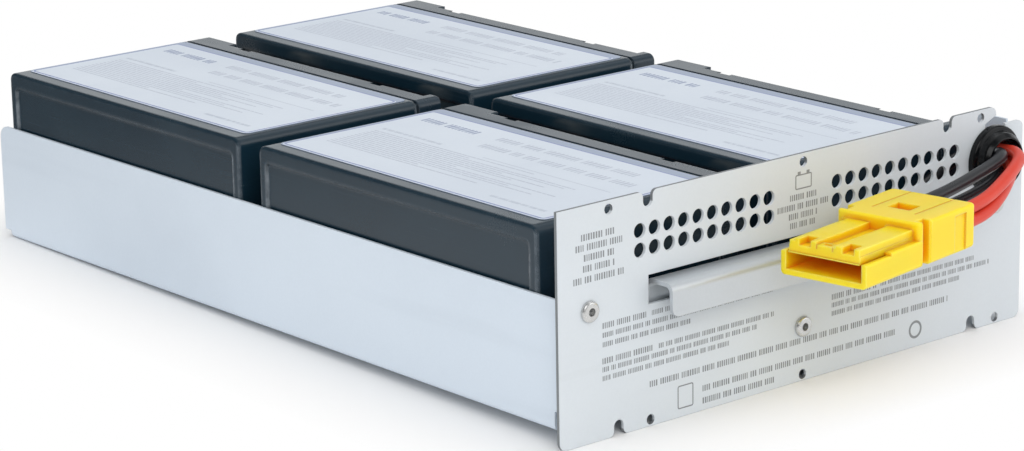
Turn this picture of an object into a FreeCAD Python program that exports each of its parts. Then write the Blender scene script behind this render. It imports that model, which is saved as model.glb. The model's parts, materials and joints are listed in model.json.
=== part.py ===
"""Slide-in battery cartridge of a two-unit rack power supply, in millimetres.

Four sealed lead-acid blocks lie on their sides in a folded steel tray.  A riveted front
panel carries the vents and the cable bushing, a formed pull handle comes out through its
slot, and four cables end in a two-pole connector that hangs in front of the panel.

X runs to the right as seen from the front, Y to the rear and Z up.  The origin is the
centre of the tray's underside.
"""
import FreeCAD, Part
import math
import os

import Sketcher
from FreeCAD import Vector

NEAR = 0.01
FULL_TURN = 360.0
ARC_SHARE = 0.45

SIZES = {
    # sealed blocks, which set the tray's room
    "block_length": 151.0,
    "block_width": 65.0,
    "block_height": 94.0,
    "block_edge": 3.0,
    "base_edge": 0.9,
    "base_recess_inset": 4.0,
    "base_recess_drop": 5.8,
    "base_recess_depth": 0.8,
    "base_recess_corner": 2.0,
    "lid_depth": 12.2,
    "seam_groove": 1.2,
    "seam_depth": 1.2,
    "shoulder_rise": 4.0,
    "front_shoulder": 6.0,
    "rear_shoulder": 21.0,
    "shoulder_width": 25.0,
    "lid_edge": 0.8,
    "vent_cover_inset": 18.0,
    "vent_cover_low": 6.0,
    "vent_cover_width": 28.0,
    "vent_cover_rise": 2.2,
    "terminal_inset": 33.5,
    "terminal_drop": 6.4,
    "well_diameter": 14.0,
    "well_depth": 1.5,
    "blade_width": 6.35,
    "blade_sheet": 0.8,
    "blade_rise": 8.0,
    "blade_hole": 1.8,
    "blade_hole_setback": 2.6,
    "label_base_margin": 6.5,
    "label_front_margin": 4.2,
    "label_rear_margin": 3.2,
    "label_seam_margin": 0.9,
    "label_sheet": 0.2,
    "label_corner": 2.5,
    "foam_sheet": 1.2,
    "foam_margin": 10.0,
    # room round the blocks
    "block_side_gap": 0.2,
    "wire_gap": 12.5,
    "front_gap_left": 13.6,
    "front_gap_right": 12.6,
    "block_gap_left": 12.3,
    "block_gap_right": 11.2,
    "rear_gap": 6.4,
    # folded tray
    "tray_sheet": 1.0,
    "tray_bend": 1.5,
    "wall_drop": 22.1,
    "rear_height": 42.0,
    "rear_slit": 0.4,
    "wall_corner": 5.0,
    "corner_relief": 4.0,
    "relief_height": 3.0,
    "front_relief": 4.5,
    "front_relief_height": 7.0,
    "flange_width": 17.6,
    "lip_gap": 4.0,
    "tab_setback": 3.2,
    "tab_length": 14.0,
    "tab_corner": 3.0,
    # front panel
    "panel_sheet": 1.2,
    "panel_overhang": 3.0,
    "panel_rise": 8.4,
    "panel_drop": 5.0,
    "panel_corner": 3.0,
    "vent_diameter": 5.1,
    "vent_pitch": 6.52,
    "vent_row_pitch": 6.6,
    "vent_first": 16.2,
    "vent_end_room": 6.0,
    "vent_drop": 19.45,
    "screw_hole": 3.5,
    "screw_top_drop": 3.0,
    "screw_top_inset": 22.2,
    "screw_low_rise": 2.3,
    "screw_low_left_inset": 39.9,
    "screw_low_right_inset": 13.0,
    "notch_width": 4.2,
    "notch_depth": 5.4,
    "notch_shoulder": 2.0,
    "notch_top_inset": 39.4,
    "notch_low_inset": 25.8,
    "horn_tip_inset": 14.2,
    "horn_thickness": 3.2,
    "horn_root": 4.0,
    "horn_root_height": 13.2,
    "horn_round": 2.8,
    "ear_drop": 7.1,
    "ear_width": 9.2,
    "ear_corner": 2.5,
    # pull handle and its slot
    "handle_width": 138.2,
    "handle_sheet": 1.6,
    "handle_bend": 1.8,
    "handle_drop": 30.2,
    "handle_reach": 9.4,
    "handle_lip_height": 11.4,
    "handle_lip_corner": 3.0,
    "handle_tongue_width": 44.0,
    "handle_tongue_drop": 15.4,
    "slot_side_room": 2.1,
    "slot_above": 1.7,
    "slot_below": 8.3,
    # blind rivets
    "rivet_inset": 10.5,
    "rivet_drop": 5.1,
    "rivet_middle_height": 14.5,
    "rivet_lip_margin": 7.5,
    "rivet_leg_margin": 6.5,
    "rivet_head": 7.4,
    "rivet_head_height": 1.4,
    "rivet_head_round": 1.1,
    "rivet_shank": 4.0,
    "rivet_clearance": 0.1,
    "rivet_bulge": 5.6,
    "rivet_bulge_length": 2.2,
    "mandrel": 2.8,
    "mandrel_recess": 2.2,
    # cable bushing
    "bushing_edge_room": 3.3,
    "bushing_rivet_gap": 0.4,
    "bushing_bore": 17.0,
    "bushing_wall": 2.3,
    "bushing_rim_overlap": 1.7,
    "bushing_rim_side": 2.3,
    "bushing_rim_round": 0.9,
    "bushing_rim_slope": 0.5,
    "bushing_ring_side": 5.2,
    "bushing_ring_taper": 0.5,
    "bushing_ring_round": 1.3,
    "bushing_nose": 6.8,
    "bushing_nose_land": 0.5,
    "bushing_nose_round": 0.5,
    "bushing_snap": 0.6,
    "bushing_snap_length": 1.6,
    "bushing_tail": 2.8,
    "bushing_seat_clearance": 0.3,
    "bushing_slit": 2.4,
    "bushing_slits": 4,
    # push-on receptacles
    "boot_base": 0.6,
    "boot_length": 9.4,
    "boot_width": 9.2,
    "boot_below": 8.6,
    "boot_above": 1.4,
    "boot_edge": 1.2,
    "boot_slot_clearance": 0.1,
    # two-pole connector
    "connector_across": -30.67,
    "connector_out": 20.33,
    "connector_base": 43.7,
    "connector_yaw": 9.7,
    "connector_length": 65.4,
    "connector_width": 33.9,
    "connector_height": 15.4,
    "connector_corner": 2.2,
    "connector_edge": 1.6,
    "connector_top_edge": 1.0,
    "connector_wall_edge": 0.6,
    "nose_length": 31.5,
    "nose_lead": 0.6,
    "shroud_drop": 7.1,
    "shroud_wall": 2.0,
    "wall_step": 1.0,
    "mouth_depth": 27.0,
    "mouth_floor": 2.0,
    "mouth_roof": 0.4,
    "side_slit_length": 14.7,
    "side_slit": 0.9,
    "side_slit_depth": 1.0,
    "shell_inset": 2.9,
    "shell_drop": 4.8,
    "rail_drop": 2.5,
    "rail_inset": 0.2,
    "rail_gap": 6.5,
    "rail_ledge": 2.2,
    "rail_ledge_drop": 0.8,
    "rail_pocket": 4.6,
    "rail_pocket_shift": 0.8,
    "rail_pocket_length": 5.0,
    "rail_pocket_depth": 2.2,
    "latch_width": 6.0,
    "latch_length": 4.6,
    "latch_drop": 3.4,
    "latch_hole_length": 1.8,
    "latch_hole_width": 3.2,
    "latch_hole_depth": 1.2,
    "latch_hole_setback": 2.0,
    "channel_floor": 2.3,
    "channel_roof": 2.3,
    "channel_room": 1.9,
    "channel_depth": 23.0,
    "finger_groove": 6.0,
    "finger_groove_setback": 4.2,
    "finger_groove_depth": 1.8,
    "side_panel_setback": 6.0,
    "side_panel_length": 7.0,
    "side_panel_depth": 0.7,
    "side_panel_roof": 2.0,
    "window_length": 7.0,
    "window_width": 9.0,
    "window_depth": 2.2,
    "window_setback": 12.0,
    "top_groove": 0.7,
    "top_groove_depth": 0.5,
    "top_groove_setback": 9.0,
    # contacts inside the connector
    "tongue_side_room": 1.0,
    "tongue_rise": 0.2,
    "tongue_sheet": 2.0,
    "tongue_setback": 5.0,
    "tongue_overlap": 2.0,
    "barrel_clearance": 0.2,
    "cable_insertion": 4.4,
    # cables
    "cable_diameter": 4.5,
    # how far a cut runs past the face it opens
    "cut_past": 1.0,
}

# Places and sizes that follow from the ones above.
LAYOUT = {
    "column_pitch": "sizes.block_height + sizes.wire_gap",
    "tray_width": "2 * sizes.tray_sheet + sizes.block_side_gap + 2 * column_pitch",
    "tray_depth": "sizes.front_gap_left + 2 * sizes.block_length + sizes.block_gap_left"
                  " + sizes.rear_gap + sizes.tray_sheet",
    "half_width": "tray_width / 2",
    "inner_half": "half_width - sizes.tray_sheet",
    "half_depth": "tray_depth / 2",
    "panel_front": "-half_depth - sizes.panel_sheet",
    "block_base": "sizes.tray_sheet + sizes.foam_sheet",
    "panel_half": "half_width + sizes.panel_overhang",
    "panel_top": "block_base + sizes.block_width + sizes.panel_rise",
    "ear_top": "panel_top - sizes.ear_drop",
    "wall_height": "block_base + sizes.block_width - sizes.wall_drop",
    "handle_top": "panel_top - sizes.handle_drop",
    "lip_half": "half_width - sizes.flange_width - sizes.lip_gap",
    "lip_top": "sizes.rivet_middle_height + sizes.rivet_lip_margin",
    "leg_low": "sizes.rivet_middle_height - sizes.rivet_leg_margin",
    "rivet_reach": "half_width - sizes.rivet_inset",
    "rivet_height": "wall_height - sizes.rivet_drop",
    "rivet_hole": "sizes.rivet_shank + sizes.rivet_clearance",
    "bore_radius": "sizes.bushing_bore / 2",
    "barrel_radius": "bore_radius + sizes.bushing_wall",
    "rim_radius": "barrel_radius + sizes.bushing_rim_overlap",
    "bushing_across": "panel_half - rim_radius - sizes.bushing_edge_room",
    "bushing_height": "rivet_height + sizes.rivet_head / 2 + sizes.bushing_rivet_gap + rim_radius",
    "vent_columns": "floor((bushing_across - rim_radius - sizes.vent_end_room - sizes.vent_first)"
                    " / sizes.vent_pitch) + 1",
    "container_height": "sizes.block_height - sizes.lid_depth",
    "lid_plate_top": "sizes.block_height - sizes.shoulder_rise",
    "terminal_height": "sizes.block_width - sizes.terminal_drop",
    "well_floor": "lid_plate_top - sizes.well_depth",
    "shroud_top": "sizes.connector_height - sizes.shroud_drop",
    "shell_top": "sizes.connector_height - sizes.shell_drop",
    "rail_top": "sizes.connector_height - sizes.rail_drop",
    "rail_width": "sizes.connector_width / 2 - sizes.shell_inset - sizes.rail_inset"
                  " - sizes.rail_gap / 2",
    "pole_offset": "sizes.rail_gap / 2 + rail_width / 2",
    "tongue_low": "shroud_top - sizes.tongue_rise",
    "tongue_half": "rail_width / 2 - sizes.tongue_side_room",
    "channel_half": "(sizes.cable_diameter + sizes.channel_room) / 2",
    "channel_high": "sizes.connector_height - sizes.channel_roof",
    "barrel_start": "sizes.connector_length - sizes.channel_depth",
}

doc = FreeCAD.newDocument("battery_cartridge")
sheet = doc.addObject("Spreadsheet::Sheet", "sizes")
for row, (alias, number) in enumerate(SIZES.items(), start=1):
    sheet.set(f"A{row}", alias)
    sheet.set(f"B{row}", str(number))
    sheet.setAlias(f"B{row}", alias)
doc.recompute()
layout = doc.addObject("App::VarSet", "layout")
for name, expression in LAYOUT.items():
    layout.addProperty("App::PropertyFloat", name)
    layout.setExpression(name, expression)
doc.recompute()

nodes = []


def size(name):
    """The number that the sheet or the layout holds under a name."""
    return float(sheet.get(name)) if name in SIZES else getattr(layout, name)


def bind(item, expressions):
    """Ties properties of a document object to expressions."""
    for name, expression in expressions.items():
        item.setExpression(name, expression)


def keep(item, label):
    """Marks a document object as a finished sub-part with its own label."""
    item.Label = label
    nodes.append(item)
    return item


def new_body(name, across="0", along="0", up="0"):
    """An empty body whose place is tied to expressions."""
    body = doc.addObject("PartDesign::Body", name)
    bind(body, {"Placement.Base.x": across, "Placement.Base.y": along, "Placement.Base.z": up})
    doc.recompute()
    return body


def sketch_on(body, role, offset=None):
    """A sketch on one of the body's own planes, moved along the plane's normal by an expression."""
    sketch = body.newObject("Sketcher::SketchObject", "profile")
    plane = next(item for item in body.Origin.OriginFeatures if item.Role == role)
    sketch.AttachmentSupport = (plane, [""])
    sketch.MapMode = "FlatFace"
    if offset is not None:
        sketch.setExpression("AttachmentOffset.Base.z", offset)
    return sketch


def hold_point(sketch, geometry, vertex, start, across, up):
    """Places one point of a sketch by two signed distances from the sketch's origin."""
    for kind, value, expression in (("DistanceX", start.x, across), ("DistanceY", start.y, up)):
        number = sketch.addConstraint(Sketcher.Constraint(kind, -1, 1, geometry, vertex, value))
        sketch.setExpression(f"Constraints[{number}]", expression)


def polygon(sketch, corners):
    """A closed outline whose corners, in turn to the left, are pairs of expressions."""
    first = sketch.GeometryCount
    count = len(corners)
    turns = [2 * math.pi * step / count for step in range(count)]
    start = [Vector(10 * math.cos(turn), 10 * math.sin(turn), 0) for turn in turns]
    for step in range(count):
        sketch.addGeometry(Part.LineSegment(start[step], start[(step + 1) % count]))
    for step in range(count):
        following = first + (step + 1) % count
        sketch.addConstraint(Sketcher.Constraint("Coincident", first + step, 2, following, 1))
    for step, (across, up) in enumerate(corners):
        hold_point(sketch, first + step, 1, start[step], across, up)


def rectangle(sketch, left, low, right, high):
    """An upright rectangle between four expressions."""
    polygon(sketch, [(left, low), (right, low), (right, high), (left, high)])


def circle(sketch, across, up, diameter):
    """A circle with its centre and diameter tied to expressions."""
    number = sketch.addGeometry(Part.Circle(Vector(5, 5, 0), Vector(0, 0, 1), 2))
    hold_point(sketch, number, 3, Vector(5, 5, 0), across, up)
    held = sketch.addConstraint(Sketcher.Constraint("Diameter", number, 4.0))
    sketch.setExpression(f"Constraints[{held}]", diameter)


def pad(body, sketch, length, both_ways=False, backwards=False):
    """Raises a sketch into solid material."""
    feature = body.newObject("PartDesign::Pad", "raised")
    feature.Profile = sketch
    feature.SideType = "Symmetric" if both_ways else "One side"
    feature.Reversed = backwards
    feature.setExpression("Length", length)
    doc.recompute()
    return feature


def pocket(body, sketch, length=None, backwards=False):
    """Cuts a sketch into the body, right through both ways when no length is given."""
    before = body.Shape.Volume
    feature = body.newObject("PartDesign::Pocket", "cut")
    feature.Profile = sketch
    feature.Reversed = backwards
    if length is None:
        feature.Type = "ThroughAll"
        feature.SideType = "Symmetric"
    else:
        feature.setExpression("Length", length)
    doc.recompute()
    if body.Shape.Volume > before - NEAR:
        raise RuntimeError(f"a cut in {body.Name} removed nothing")
    return feature


def edges_along(body, axis, **places):
    """Names of the tip's straight edges that run along an axis at the given coordinates."""
    names = []
    for number, edge in enumerate(body.Tip.Shape.Edges, start=1):
        box = edge.BoundBox
        low = {"x": box.XMin, "y": box.YMin, "z": box.ZMin}
        high = {"x": box.XMax, "y": box.YMax, "z": box.ZMax}
        across = [key for key in "xyz" if key != axis]
        runs = all(high[key] - low[key] < NEAR for key in across) and high[axis] - low[axis] > NEAR
        if runs and all(abs(low[key] - value) < NEAR for key, value in places.items()):
            names.append(f"Edge{number}")
    return names


def round_edges(body, names, radius):
    """Rounds edges of the body's tip with a radius tied to an expression."""
    if not names:
        raise RuntimeError(f"no edge of {body.Name} was found to round")
    carrier = body.Tip
    feature = body.newObject("PartDesign::Fillet", "rounded")
    feature.Base = (carrier, names)
    feature.setExpression("Radius", radius)
    doc.recompute()
    return feature


def revolve(body, corners):
    """Turns an outline of (radius, place along Y) pairs about the body's Y axis."""
    sketch = sketch_on(body, "XY_Plane")
    polygon(sketch, corners)
    feature = body.newObject("PartDesign::Revolution", "turned")
    feature.Profile = sketch
    feature.ReferenceAxis = (sketch, ["V_Axis"])
    feature.Angle = FULL_TURN
    doc.recompute()
    return feature


def circular_edges(body, radius, along):
    """Names of the tip's full circles about Y with a given radius and place along Y."""
    names = []
    for number, edge in enumerate(body.Tip.Shape.Edges, start=1):
        curve = edge.Curve
        if not isinstance(curve, Part.Circle) or abs(curve.Radius - radius) > NEAR:
            continue
        if abs(curve.Center.y - along) < NEAR and edge.isClosed():
            names.append(f"Edge{number}")
    return names


RIVET_PLACES = (
    ("-layout.rivet_reach", "layout.rivet_height"),
    ("0", "sizes.rivet_middle_height"),
    ("layout.rivet_reach", "layout.rivet_height"),
)
SIDES = ("-", "")


def make_tray():
    """Folded steel tray: floor, two side walls, rear wall, front lip and riveting flanges."""
    body = new_body("tray")
    half = size("half_width")
    steel = size("tray_sheet")
    rear = size("half_depth")
    front = -rear
    outer_bend = "sizes.tray_bend + sizes.tray_sheet"

    channel = sketch_on(body, "XZ_Plane")
    polygon(channel, [
        ("-layout.half_width", "0"), ("layout.half_width", "0"),
        ("layout.half_width", "layout.wall_height"), ("layout.inner_half", "layout.wall_height"),
        ("layout.inner_half", "sizes.tray_sheet"), ("-layout.inner_half", "sizes.tray_sheet"),
        ("-layout.inner_half", "layout.wall_height"), ("-layout.half_width", "layout.wall_height")])
    pad(body, channel, "layout.tray_depth", both_ways=True)
    round_edges(body, edges_along(body, "y", z=0), outer_bend)
    inner = [edges_along(body, "y", z=steel, x=side * (half - steel)) for side in (-1, 1)]
    round_edges(body, sum(inner, []), "sizes.tray_bend")

    wall = sketch_on(body, "XY_Plane")
    rectangle(wall, "-layout.inner_half + sizes.rear_slit", "layout.half_depth - sizes.tray_sheet",
              "layout.inner_half - sizes.rear_slit", "layout.half_depth")
    pad(body, wall, "sizes.rear_height")
    reliefs = (
        ("layout.half_depth - sizes.corner_relief", "layout.half_depth + sizes.cut_past",
         "sizes.relief_height"),
        ("-layout.half_depth - sizes.cut_past", "-layout.half_depth + sizes.front_relief",
         "sizes.front_relief_height"))
    for near, far, height in reliefs:
        corners = sketch_on(body, "XY_Plane")
        for side in SIDES:
            rectangle(corners, f"{side}(layout.half_width - sizes.corner_relief)", near,
                      f"{side}(layout.half_width + sizes.cut_past)", far)
        pocket(body, corners, height, backwards=True)
    round_edges(body, edges_along(body, "x", y=rear, z=0), outer_bend)
    round_edges(body, edges_along(body, "x", y=rear - steel, z=steel), "sizes.tray_bend")
    round_edges(body, edges_along(body, "x", y=rear, z=size("wall_height")), "sizes.wall_corner")

    front_lip = sketch_on(body, "XZ_Plane", "layout.half_depth")
    rectangle(front_lip, "-layout.lip_half", "0", "layout.lip_half", "layout.lip_top")
    pad(body, front_lip, "sizes.tray_sheet", backwards=True)
    round_edges(body, edges_along(body, "x", y=front + steel, z=steel), "sizes.tray_bend")

    flanges = sketch_on(body, "XZ_Plane", "layout.half_depth")
    for side in SIDES:
        rectangle(flanges, f"{side}(layout.half_width - sizes.flange_width)",
                  "sizes.front_relief_height", f"{side}layout.half_width", "layout.wall_height")
    pad(body, flanges, "sizes.tray_sheet", backwards=True)
    corners = [edges_along(body, "z", x=side * half, y=front) for side in (-1, 1)]
    round_edges(body, sum(corners, []), outer_bend)
    corners = [edges_along(body, "z", x=side * (half - steel), y=front + steel) for side in (-1, 1)]
    round_edges(body, sum(corners, []), "sizes.tray_bend")

    tab = sketch_on(body, "YZ_Plane", "layout.inner_half")
    tab_front = "-layout.half_depth + sizes.tab_setback"
    rectangle(tab, tab_front, "layout.wall_height - sizes.tray_sheet",
              f"{tab_front} + sizes.tab_length", "layout.ear_top")
    pad(body, tab, "sizes.tray_sheet")
    tab_back = front + size("tab_setback") + size("tab_length")
    round_edges(body, edges_along(body, "x", y=tab_back, z=size("ear_top")), "sizes.tab_corner")

    holes = sketch_on(body, "XZ_Plane", "layout.half_depth + sizes.cut_past")
    for across, up in RIVET_PLACES:
        circle(holes, across, up, "layout.rivet_hole")
    pocket(body, holes, "sizes.tray_sheet + 2 * sizes.cut_past")
    return keep(body, "tray")


def cut_cable_gap(body):
    """Opens the panel's top right: a hooked horn, the bushing's seat and a lower ear beside it."""
    gap = sketch_on(body, "XZ_Plane")
    seat_top = "layout.bushing_height + layout.bore_radius"
    ear_side = "layout.panel_half - sizes.ear_width"
    horn_tip = "layout.panel_half - sizes.horn_tip_inset"
    horn_root = "layout.bushing_across - sizes.horn_root"
    above = "layout.panel_top + sizes.cut_past"
    beside = "layout.panel_half + sizes.cut_past"
    polygon(gap, [
        (horn_root, seat_top), (ear_side, seat_top),
        (ear_side, "layout.ear_top"), (beside, "layout.ear_top"),
        (beside, above), (horn_tip, above),
        (horn_tip, "layout.panel_top - sizes.horn_thickness"),
        (horn_root, "layout.bushing_height + sizes.horn_root_height")])
    pocket(body, gap)
    seat = sketch_on(body, "XZ_Plane")
    circle(seat, "layout.bushing_across", "layout.bushing_height",
           "2 * layout.barrel_radius + sizes.bushing_seat_clearance")
    pocket(body, seat)
    tip = size("panel_half") - size("horn_tip_inset")
    round_edges(body, edges_along(body, "y", x=tip, z=size("panel_top")), "sizes.horn_round")
    ear = edges_along(body, "y", x=size("panel_half"), z=size("ear_top"))
    round_edges(body, ear, "sizes.ear_corner")


def cut_edge_notches(body):
    """Cuts two round-ended notches in the panel's top edge and two in its bottom edge."""
    notches = sketch_on(body, "XZ_Plane")
    ends = sketch_on(body, "XZ_Plane")
    radius = "sizes.notch_width / 2"
    depth = f"(sizes.notch_depth - {radius})"
    for side in SIDES:
        across = f"{side}(layout.panel_half - sizes.notch_top_inset)"
        rectangle(notches, f"{across} - {radius}", f"layout.panel_top - {depth}",
                  f"{across} + {radius}", "layout.panel_top + sizes.cut_past")
        circle(ends, across, f"layout.panel_top - {depth}", "sizes.notch_width")
        across = f"{side}(layout.panel_half - sizes.notch_low_inset)"
        rectangle(notches, f"{across} - {radius}", "-sizes.panel_drop - sizes.cut_past",
                  f"{across} + {radius}", f"-sizes.panel_drop + {depth}")
        circle(ends, across, f"-sizes.panel_drop + {depth}", "sizes.notch_width")
    pocket(body, notches)
    pocket(body, ends)
    shoulders = []
    levels = (("notch_top_inset", size("panel_top")), ("notch_low_inset", -size("panel_drop")))
    for inset, level in levels:
        for side in (-1, 1):
            for edge in (-1, 1):
                middle = side * (size("panel_half") - size(inset))
                across = middle + edge * size("notch_width") / 2
                shoulders += edges_along(body, "y", x=across, z=level)
    round_edges(body, shoulders, "sizes.notch_shoulder")


def make_front_panel():
    """Flat front panel with vents, screw holes, edge notches, handle slot and bushing seat."""
    body = new_body("front_panel", along="-layout.half_depth")
    outline = sketch_on(body, "XZ_Plane")
    rectangle(outline, "-layout.panel_half", "-sizes.panel_drop",
              "layout.panel_half", "layout.panel_top")
    pad(body, outline, "sizes.panel_sheet")
    cut_cable_gap(body)
    bottom = -size("panel_drop")
    low_corners = [edges_along(body, "y", x=side * size("panel_half"), z=bottom) for side in (-1, 1)]
    round_edges(body, sum(low_corners, []), "sizes.panel_corner")
    cut_edge_notches(body)

    holes = sketch_on(body, "XZ_Plane")
    screw_top = "layout.panel_top - sizes.screw_top_drop"
    screw_low = "-sizes.panel_drop + sizes.screw_low_rise"
    for across, up in (
            ("-layout.panel_half + sizes.screw_top_inset", screw_top),
            ("0", screw_top),
            ("layout.panel_half - sizes.screw_top_inset", screw_top),
            ("-layout.panel_half + sizes.screw_low_left_inset", screw_low),
            ("0", screw_low),
            ("layout.panel_half - sizes.screw_low_right_inset", screw_low)):
        circle(holes, across, up, "sizes.screw_hole")
    for across, up in RIVET_PLACES:
        circle(holes, across, up, "layout.rivet_hole")
    slot_half = "sizes.handle_width / 2 + sizes.slot_side_room"
    rectangle(holes, f"-({slot_half})", "layout.handle_top - sizes.slot_below",
              slot_half, "layout.handle_top + sizes.slot_above")
    pocket(body, holes)

    vent_low = "layout.panel_top - sizes.vent_drop"
    for side in SIDES:
        vent = sketch_on(body, "XZ_Plane")
        for up in (vent_low, f"{vent_low} + sizes.vent_row_pitch"):
            circle(vent, f"{side}sizes.vent_first", up, "sizes.vent_diameter")
        first = pocket(body, vent)
        row_of_vents = body.newObject("PartDesign::LinearPattern", "vents")
        row_of_vents.Originals = [first]
        row_of_vents.Direction = (vent, ["H_Axis"])
        row_of_vents.Reversed = side == "-"
        row_of_vents.Mode = "Spacing"
        bind(row_of_vents, {"Offset": "sizes.vent_pitch", "Occurrences": "layout.vent_columns"})
        body.Tip = row_of_vents
        doc.recompute()
    return keep(body, "front_panel")


def make_pull_handle():
    """Formed sheet: riveted leg behind the panel, a ledge through the slot and a grip lip."""
    body = new_body("pull_handle", along="-layout.half_depth")
    leg_front = "sizes.tray_sheet"
    leg_back = "sizes.tray_sheet + sizes.handle_sheet"
    lip_front = "-sizes.panel_sheet - sizes.handle_reach"
    lip_back = f"{lip_front} + sizes.handle_sheet"
    lip_low = "layout.handle_top - sizes.handle_lip_height"
    under = "layout.handle_top - sizes.handle_sheet"

    section = sketch_on(body, "YZ_Plane")
    polygon(section, [
        (leg_front, "layout.leg_low"), (leg_back, "layout.leg_low"),
        (leg_back, "layout.handle_top"), (lip_front, "layout.handle_top"),
        (lip_front, lip_low), (lip_back, lip_low), (lip_back, under), (leg_front, under)])
    pad(body, section, "sizes.handle_width", both_ways=True)

    plate = size("handle_sheet")
    top = size("handle_top")
    lip = -size("panel_sheet") - size("handle_reach")
    leg = size("tray_sheet")
    outer = edges_along(body, "x", y=lip, z=top) + edges_along(body, "x", y=leg + plate, z=top)
    round_edges(body, outer, "sizes.handle_bend + sizes.handle_sheet")
    inner = (edges_along(body, "x", y=lip + plate, z=top - plate)
             + edges_along(body, "x", y=leg, z=top - plate))
    round_edges(body, inner, "sizes.handle_bend")
    half = size("handle_width") / 2
    low = top - size("handle_lip_height")
    corners = [edges_along(body, "y", x=side * half, z=low) for side in (-1, 1)]
    round_edges(body, sum(corners, []), "sizes.handle_lip_corner")

    cheeks = sketch_on(body, "XZ_Plane")
    cheek_top = "layout.handle_top - sizes.handle_tongue_drop"
    for side in SIDES:
        rectangle(cheeks, f"{side}sizes.handle_tongue_width / 2", "layout.leg_low - sizes.cut_past",
                  f"{side}(sizes.handle_width / 2 + sizes.cut_past)", cheek_top)
    circle(cheeks, *RIVET_PLACES[1], "layout.rivet_hole")
    pocket(body, cheeks)
    return keep(body, "pull_handle")


def make_rivet(name, across, up, grip):
    """Blind rivet with a domed head, a set bulge behind the sheets and a mandrel recess."""
    body = new_body(name, across, "layout.panel_front", up)
    head = "-sizes.rivet_head_height"
    bulge = f"{grip} + sizes.rivet_bulge_length"
    revolve(body, [
        ("0", f"{head} + sizes.mandrel_recess"),
        ("sizes.mandrel / 2", f"{head} + sizes.mandrel_recess"), ("sizes.mandrel / 2", head),
        ("sizes.rivet_head / 2", head), ("sizes.rivet_head / 2", "0"),
        ("sizes.rivet_shank / 2", "0"), ("sizes.rivet_shank / 2", grip),
        ("sizes.rivet_bulge / 2", grip), ("sizes.rivet_bulge / 2", bulge), ("0", bulge)])
    rim = circular_edges(body, size("rivet_head") / 2, -size("rivet_head_height"))
    round_edges(body, rim, "sizes.rivet_head_round")
    return body


def make_rivets():
    """The three rivets that hold the panel, one of them through the handle's leg as well."""
    two_sheets = "sizes.panel_sheet + sizes.tray_sheet"
    grips = (two_sheets, f"{two_sheets} + sizes.handle_sheet", two_sheets)
    group = doc.addObject("Part::Compound", "rivet_group")
    group.Links = [make_rivet(f"rivet_{number}", across, up, grip)
                   for number, ((across, up), grip) in enumerate(zip(RIVET_PLACES, grips))]
    return keep(group, "panel_rivets")


def make_bushing():
    """Snap bushing with a stepped rim, a barrel in the panel and split locking fingers."""
    body = new_body("bushing", "layout.bushing_across", "layout.panel_front", "layout.bushing_height")
    tail = "sizes.panel_sheet + sizes.bushing_tail"
    rim = "layout.rim_radius"
    snap = "layout.barrel_radius + sizes.bushing_snap"
    revolve(body, [
        ("layout.bore_radius", "-sizes.bushing_nose"),
        ("layout.bore_radius + sizes.bushing_nose_land", "-sizes.bushing_nose"),
        ("layout.barrel_radius - sizes.bushing_ring_taper", "-sizes.bushing_ring_side"),
        ("layout.barrel_radius", "-sizes.bushing_rim_side - sizes.bushing_rim_slope"),
        (rim, "-sizes.bushing_rim_side"), (rim, "0"),
        ("layout.barrel_radius", "0"), ("layout.barrel_radius", "sizes.panel_sheet"),
        (snap, "sizes.panel_sheet"), (snap, "sizes.panel_sheet + sizes.bushing_snap_length"),
        ("layout.barrel_radius", tail), ("layout.bore_radius", tail)])
    rim_edge = circular_edges(body, size("rim_radius"), -size("bushing_rim_side"))
    round_edges(body, rim_edge, "sizes.bushing_rim_round")
    ring_edge = circular_edges(body, size("barrel_radius") - size("bushing_ring_taper"),
                               -size("bushing_ring_side"))
    round_edges(body, ring_edge, "sizes.bushing_ring_round")
    nose_edge = circular_edges(body, size("bore_radius") + size("bushing_nose_land"),
                               -size("bushing_nose"))
    round_edges(body, nose_edge, "sizes.bushing_nose_round")
    slit = sketch_on(body, "XZ_Plane", f"-({tail}) - sizes.cut_past")
    rectangle(slit, "layout.bore_radius - sizes.cut_past", "-sizes.bushing_slit / 2",
              f"{snap} + sizes.cut_past", "sizes.bushing_slit / 2")
    first = pocket(body, slit, "sizes.bushing_tail + sizes.cut_past", backwards=True)
    ring = body.newObject("PartDesign::PolarPattern", "fingers")
    ring.Originals = [first]
    ring.Axis = (slit, ["N_Axis"])
    ring.Angle = FULL_TURN
    bind(ring, {"Occurrences": "sizes.bushing_slits"})
    body.Tip = ring
    doc.recompute()
    return keep(body, "cable_bushing")


class Block:
    """Place of one sealed block: its base faces -X, its lid +X, and it lies on one long side."""

    def __init__(self, name, column, front):
        self.name = name
        self.across = f"-layout.inner_half + sizes.block_side_gap + {column} * layout.column_pitch"
        self.along = f"-layout.half_depth + {front}"

    def body(self, kind):
        """An empty body at the block's lower front corner."""
        return new_body(f"{kind}_{self.name}", self.across, self.along, "layout.block_base")


BLOCKS = (
    Block("front_left", 0, "sizes.front_gap_left"),
    Block("rear_left", 0, "sizes.front_gap_left + sizes.block_length + sizes.block_gap_left"),
    Block("front_right", 1, "sizes.front_gap_right"),
    Block("rear_right", 1, "sizes.front_gap_right + sizes.block_length + sizes.block_gap_right"),
)
TERMINAL_PLACES = ("sizes.terminal_inset", "sizes.block_length - sizes.terminal_inset")


def long_edges(body):
    """Names of the four outer edges that run from a block's base to its lid."""
    edges = []
    for along in (0, size("block_length")):
        for up in (0, size("block_width")):
            edges += edges_along(body, "x", y=along, z=up)
    return edges


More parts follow.
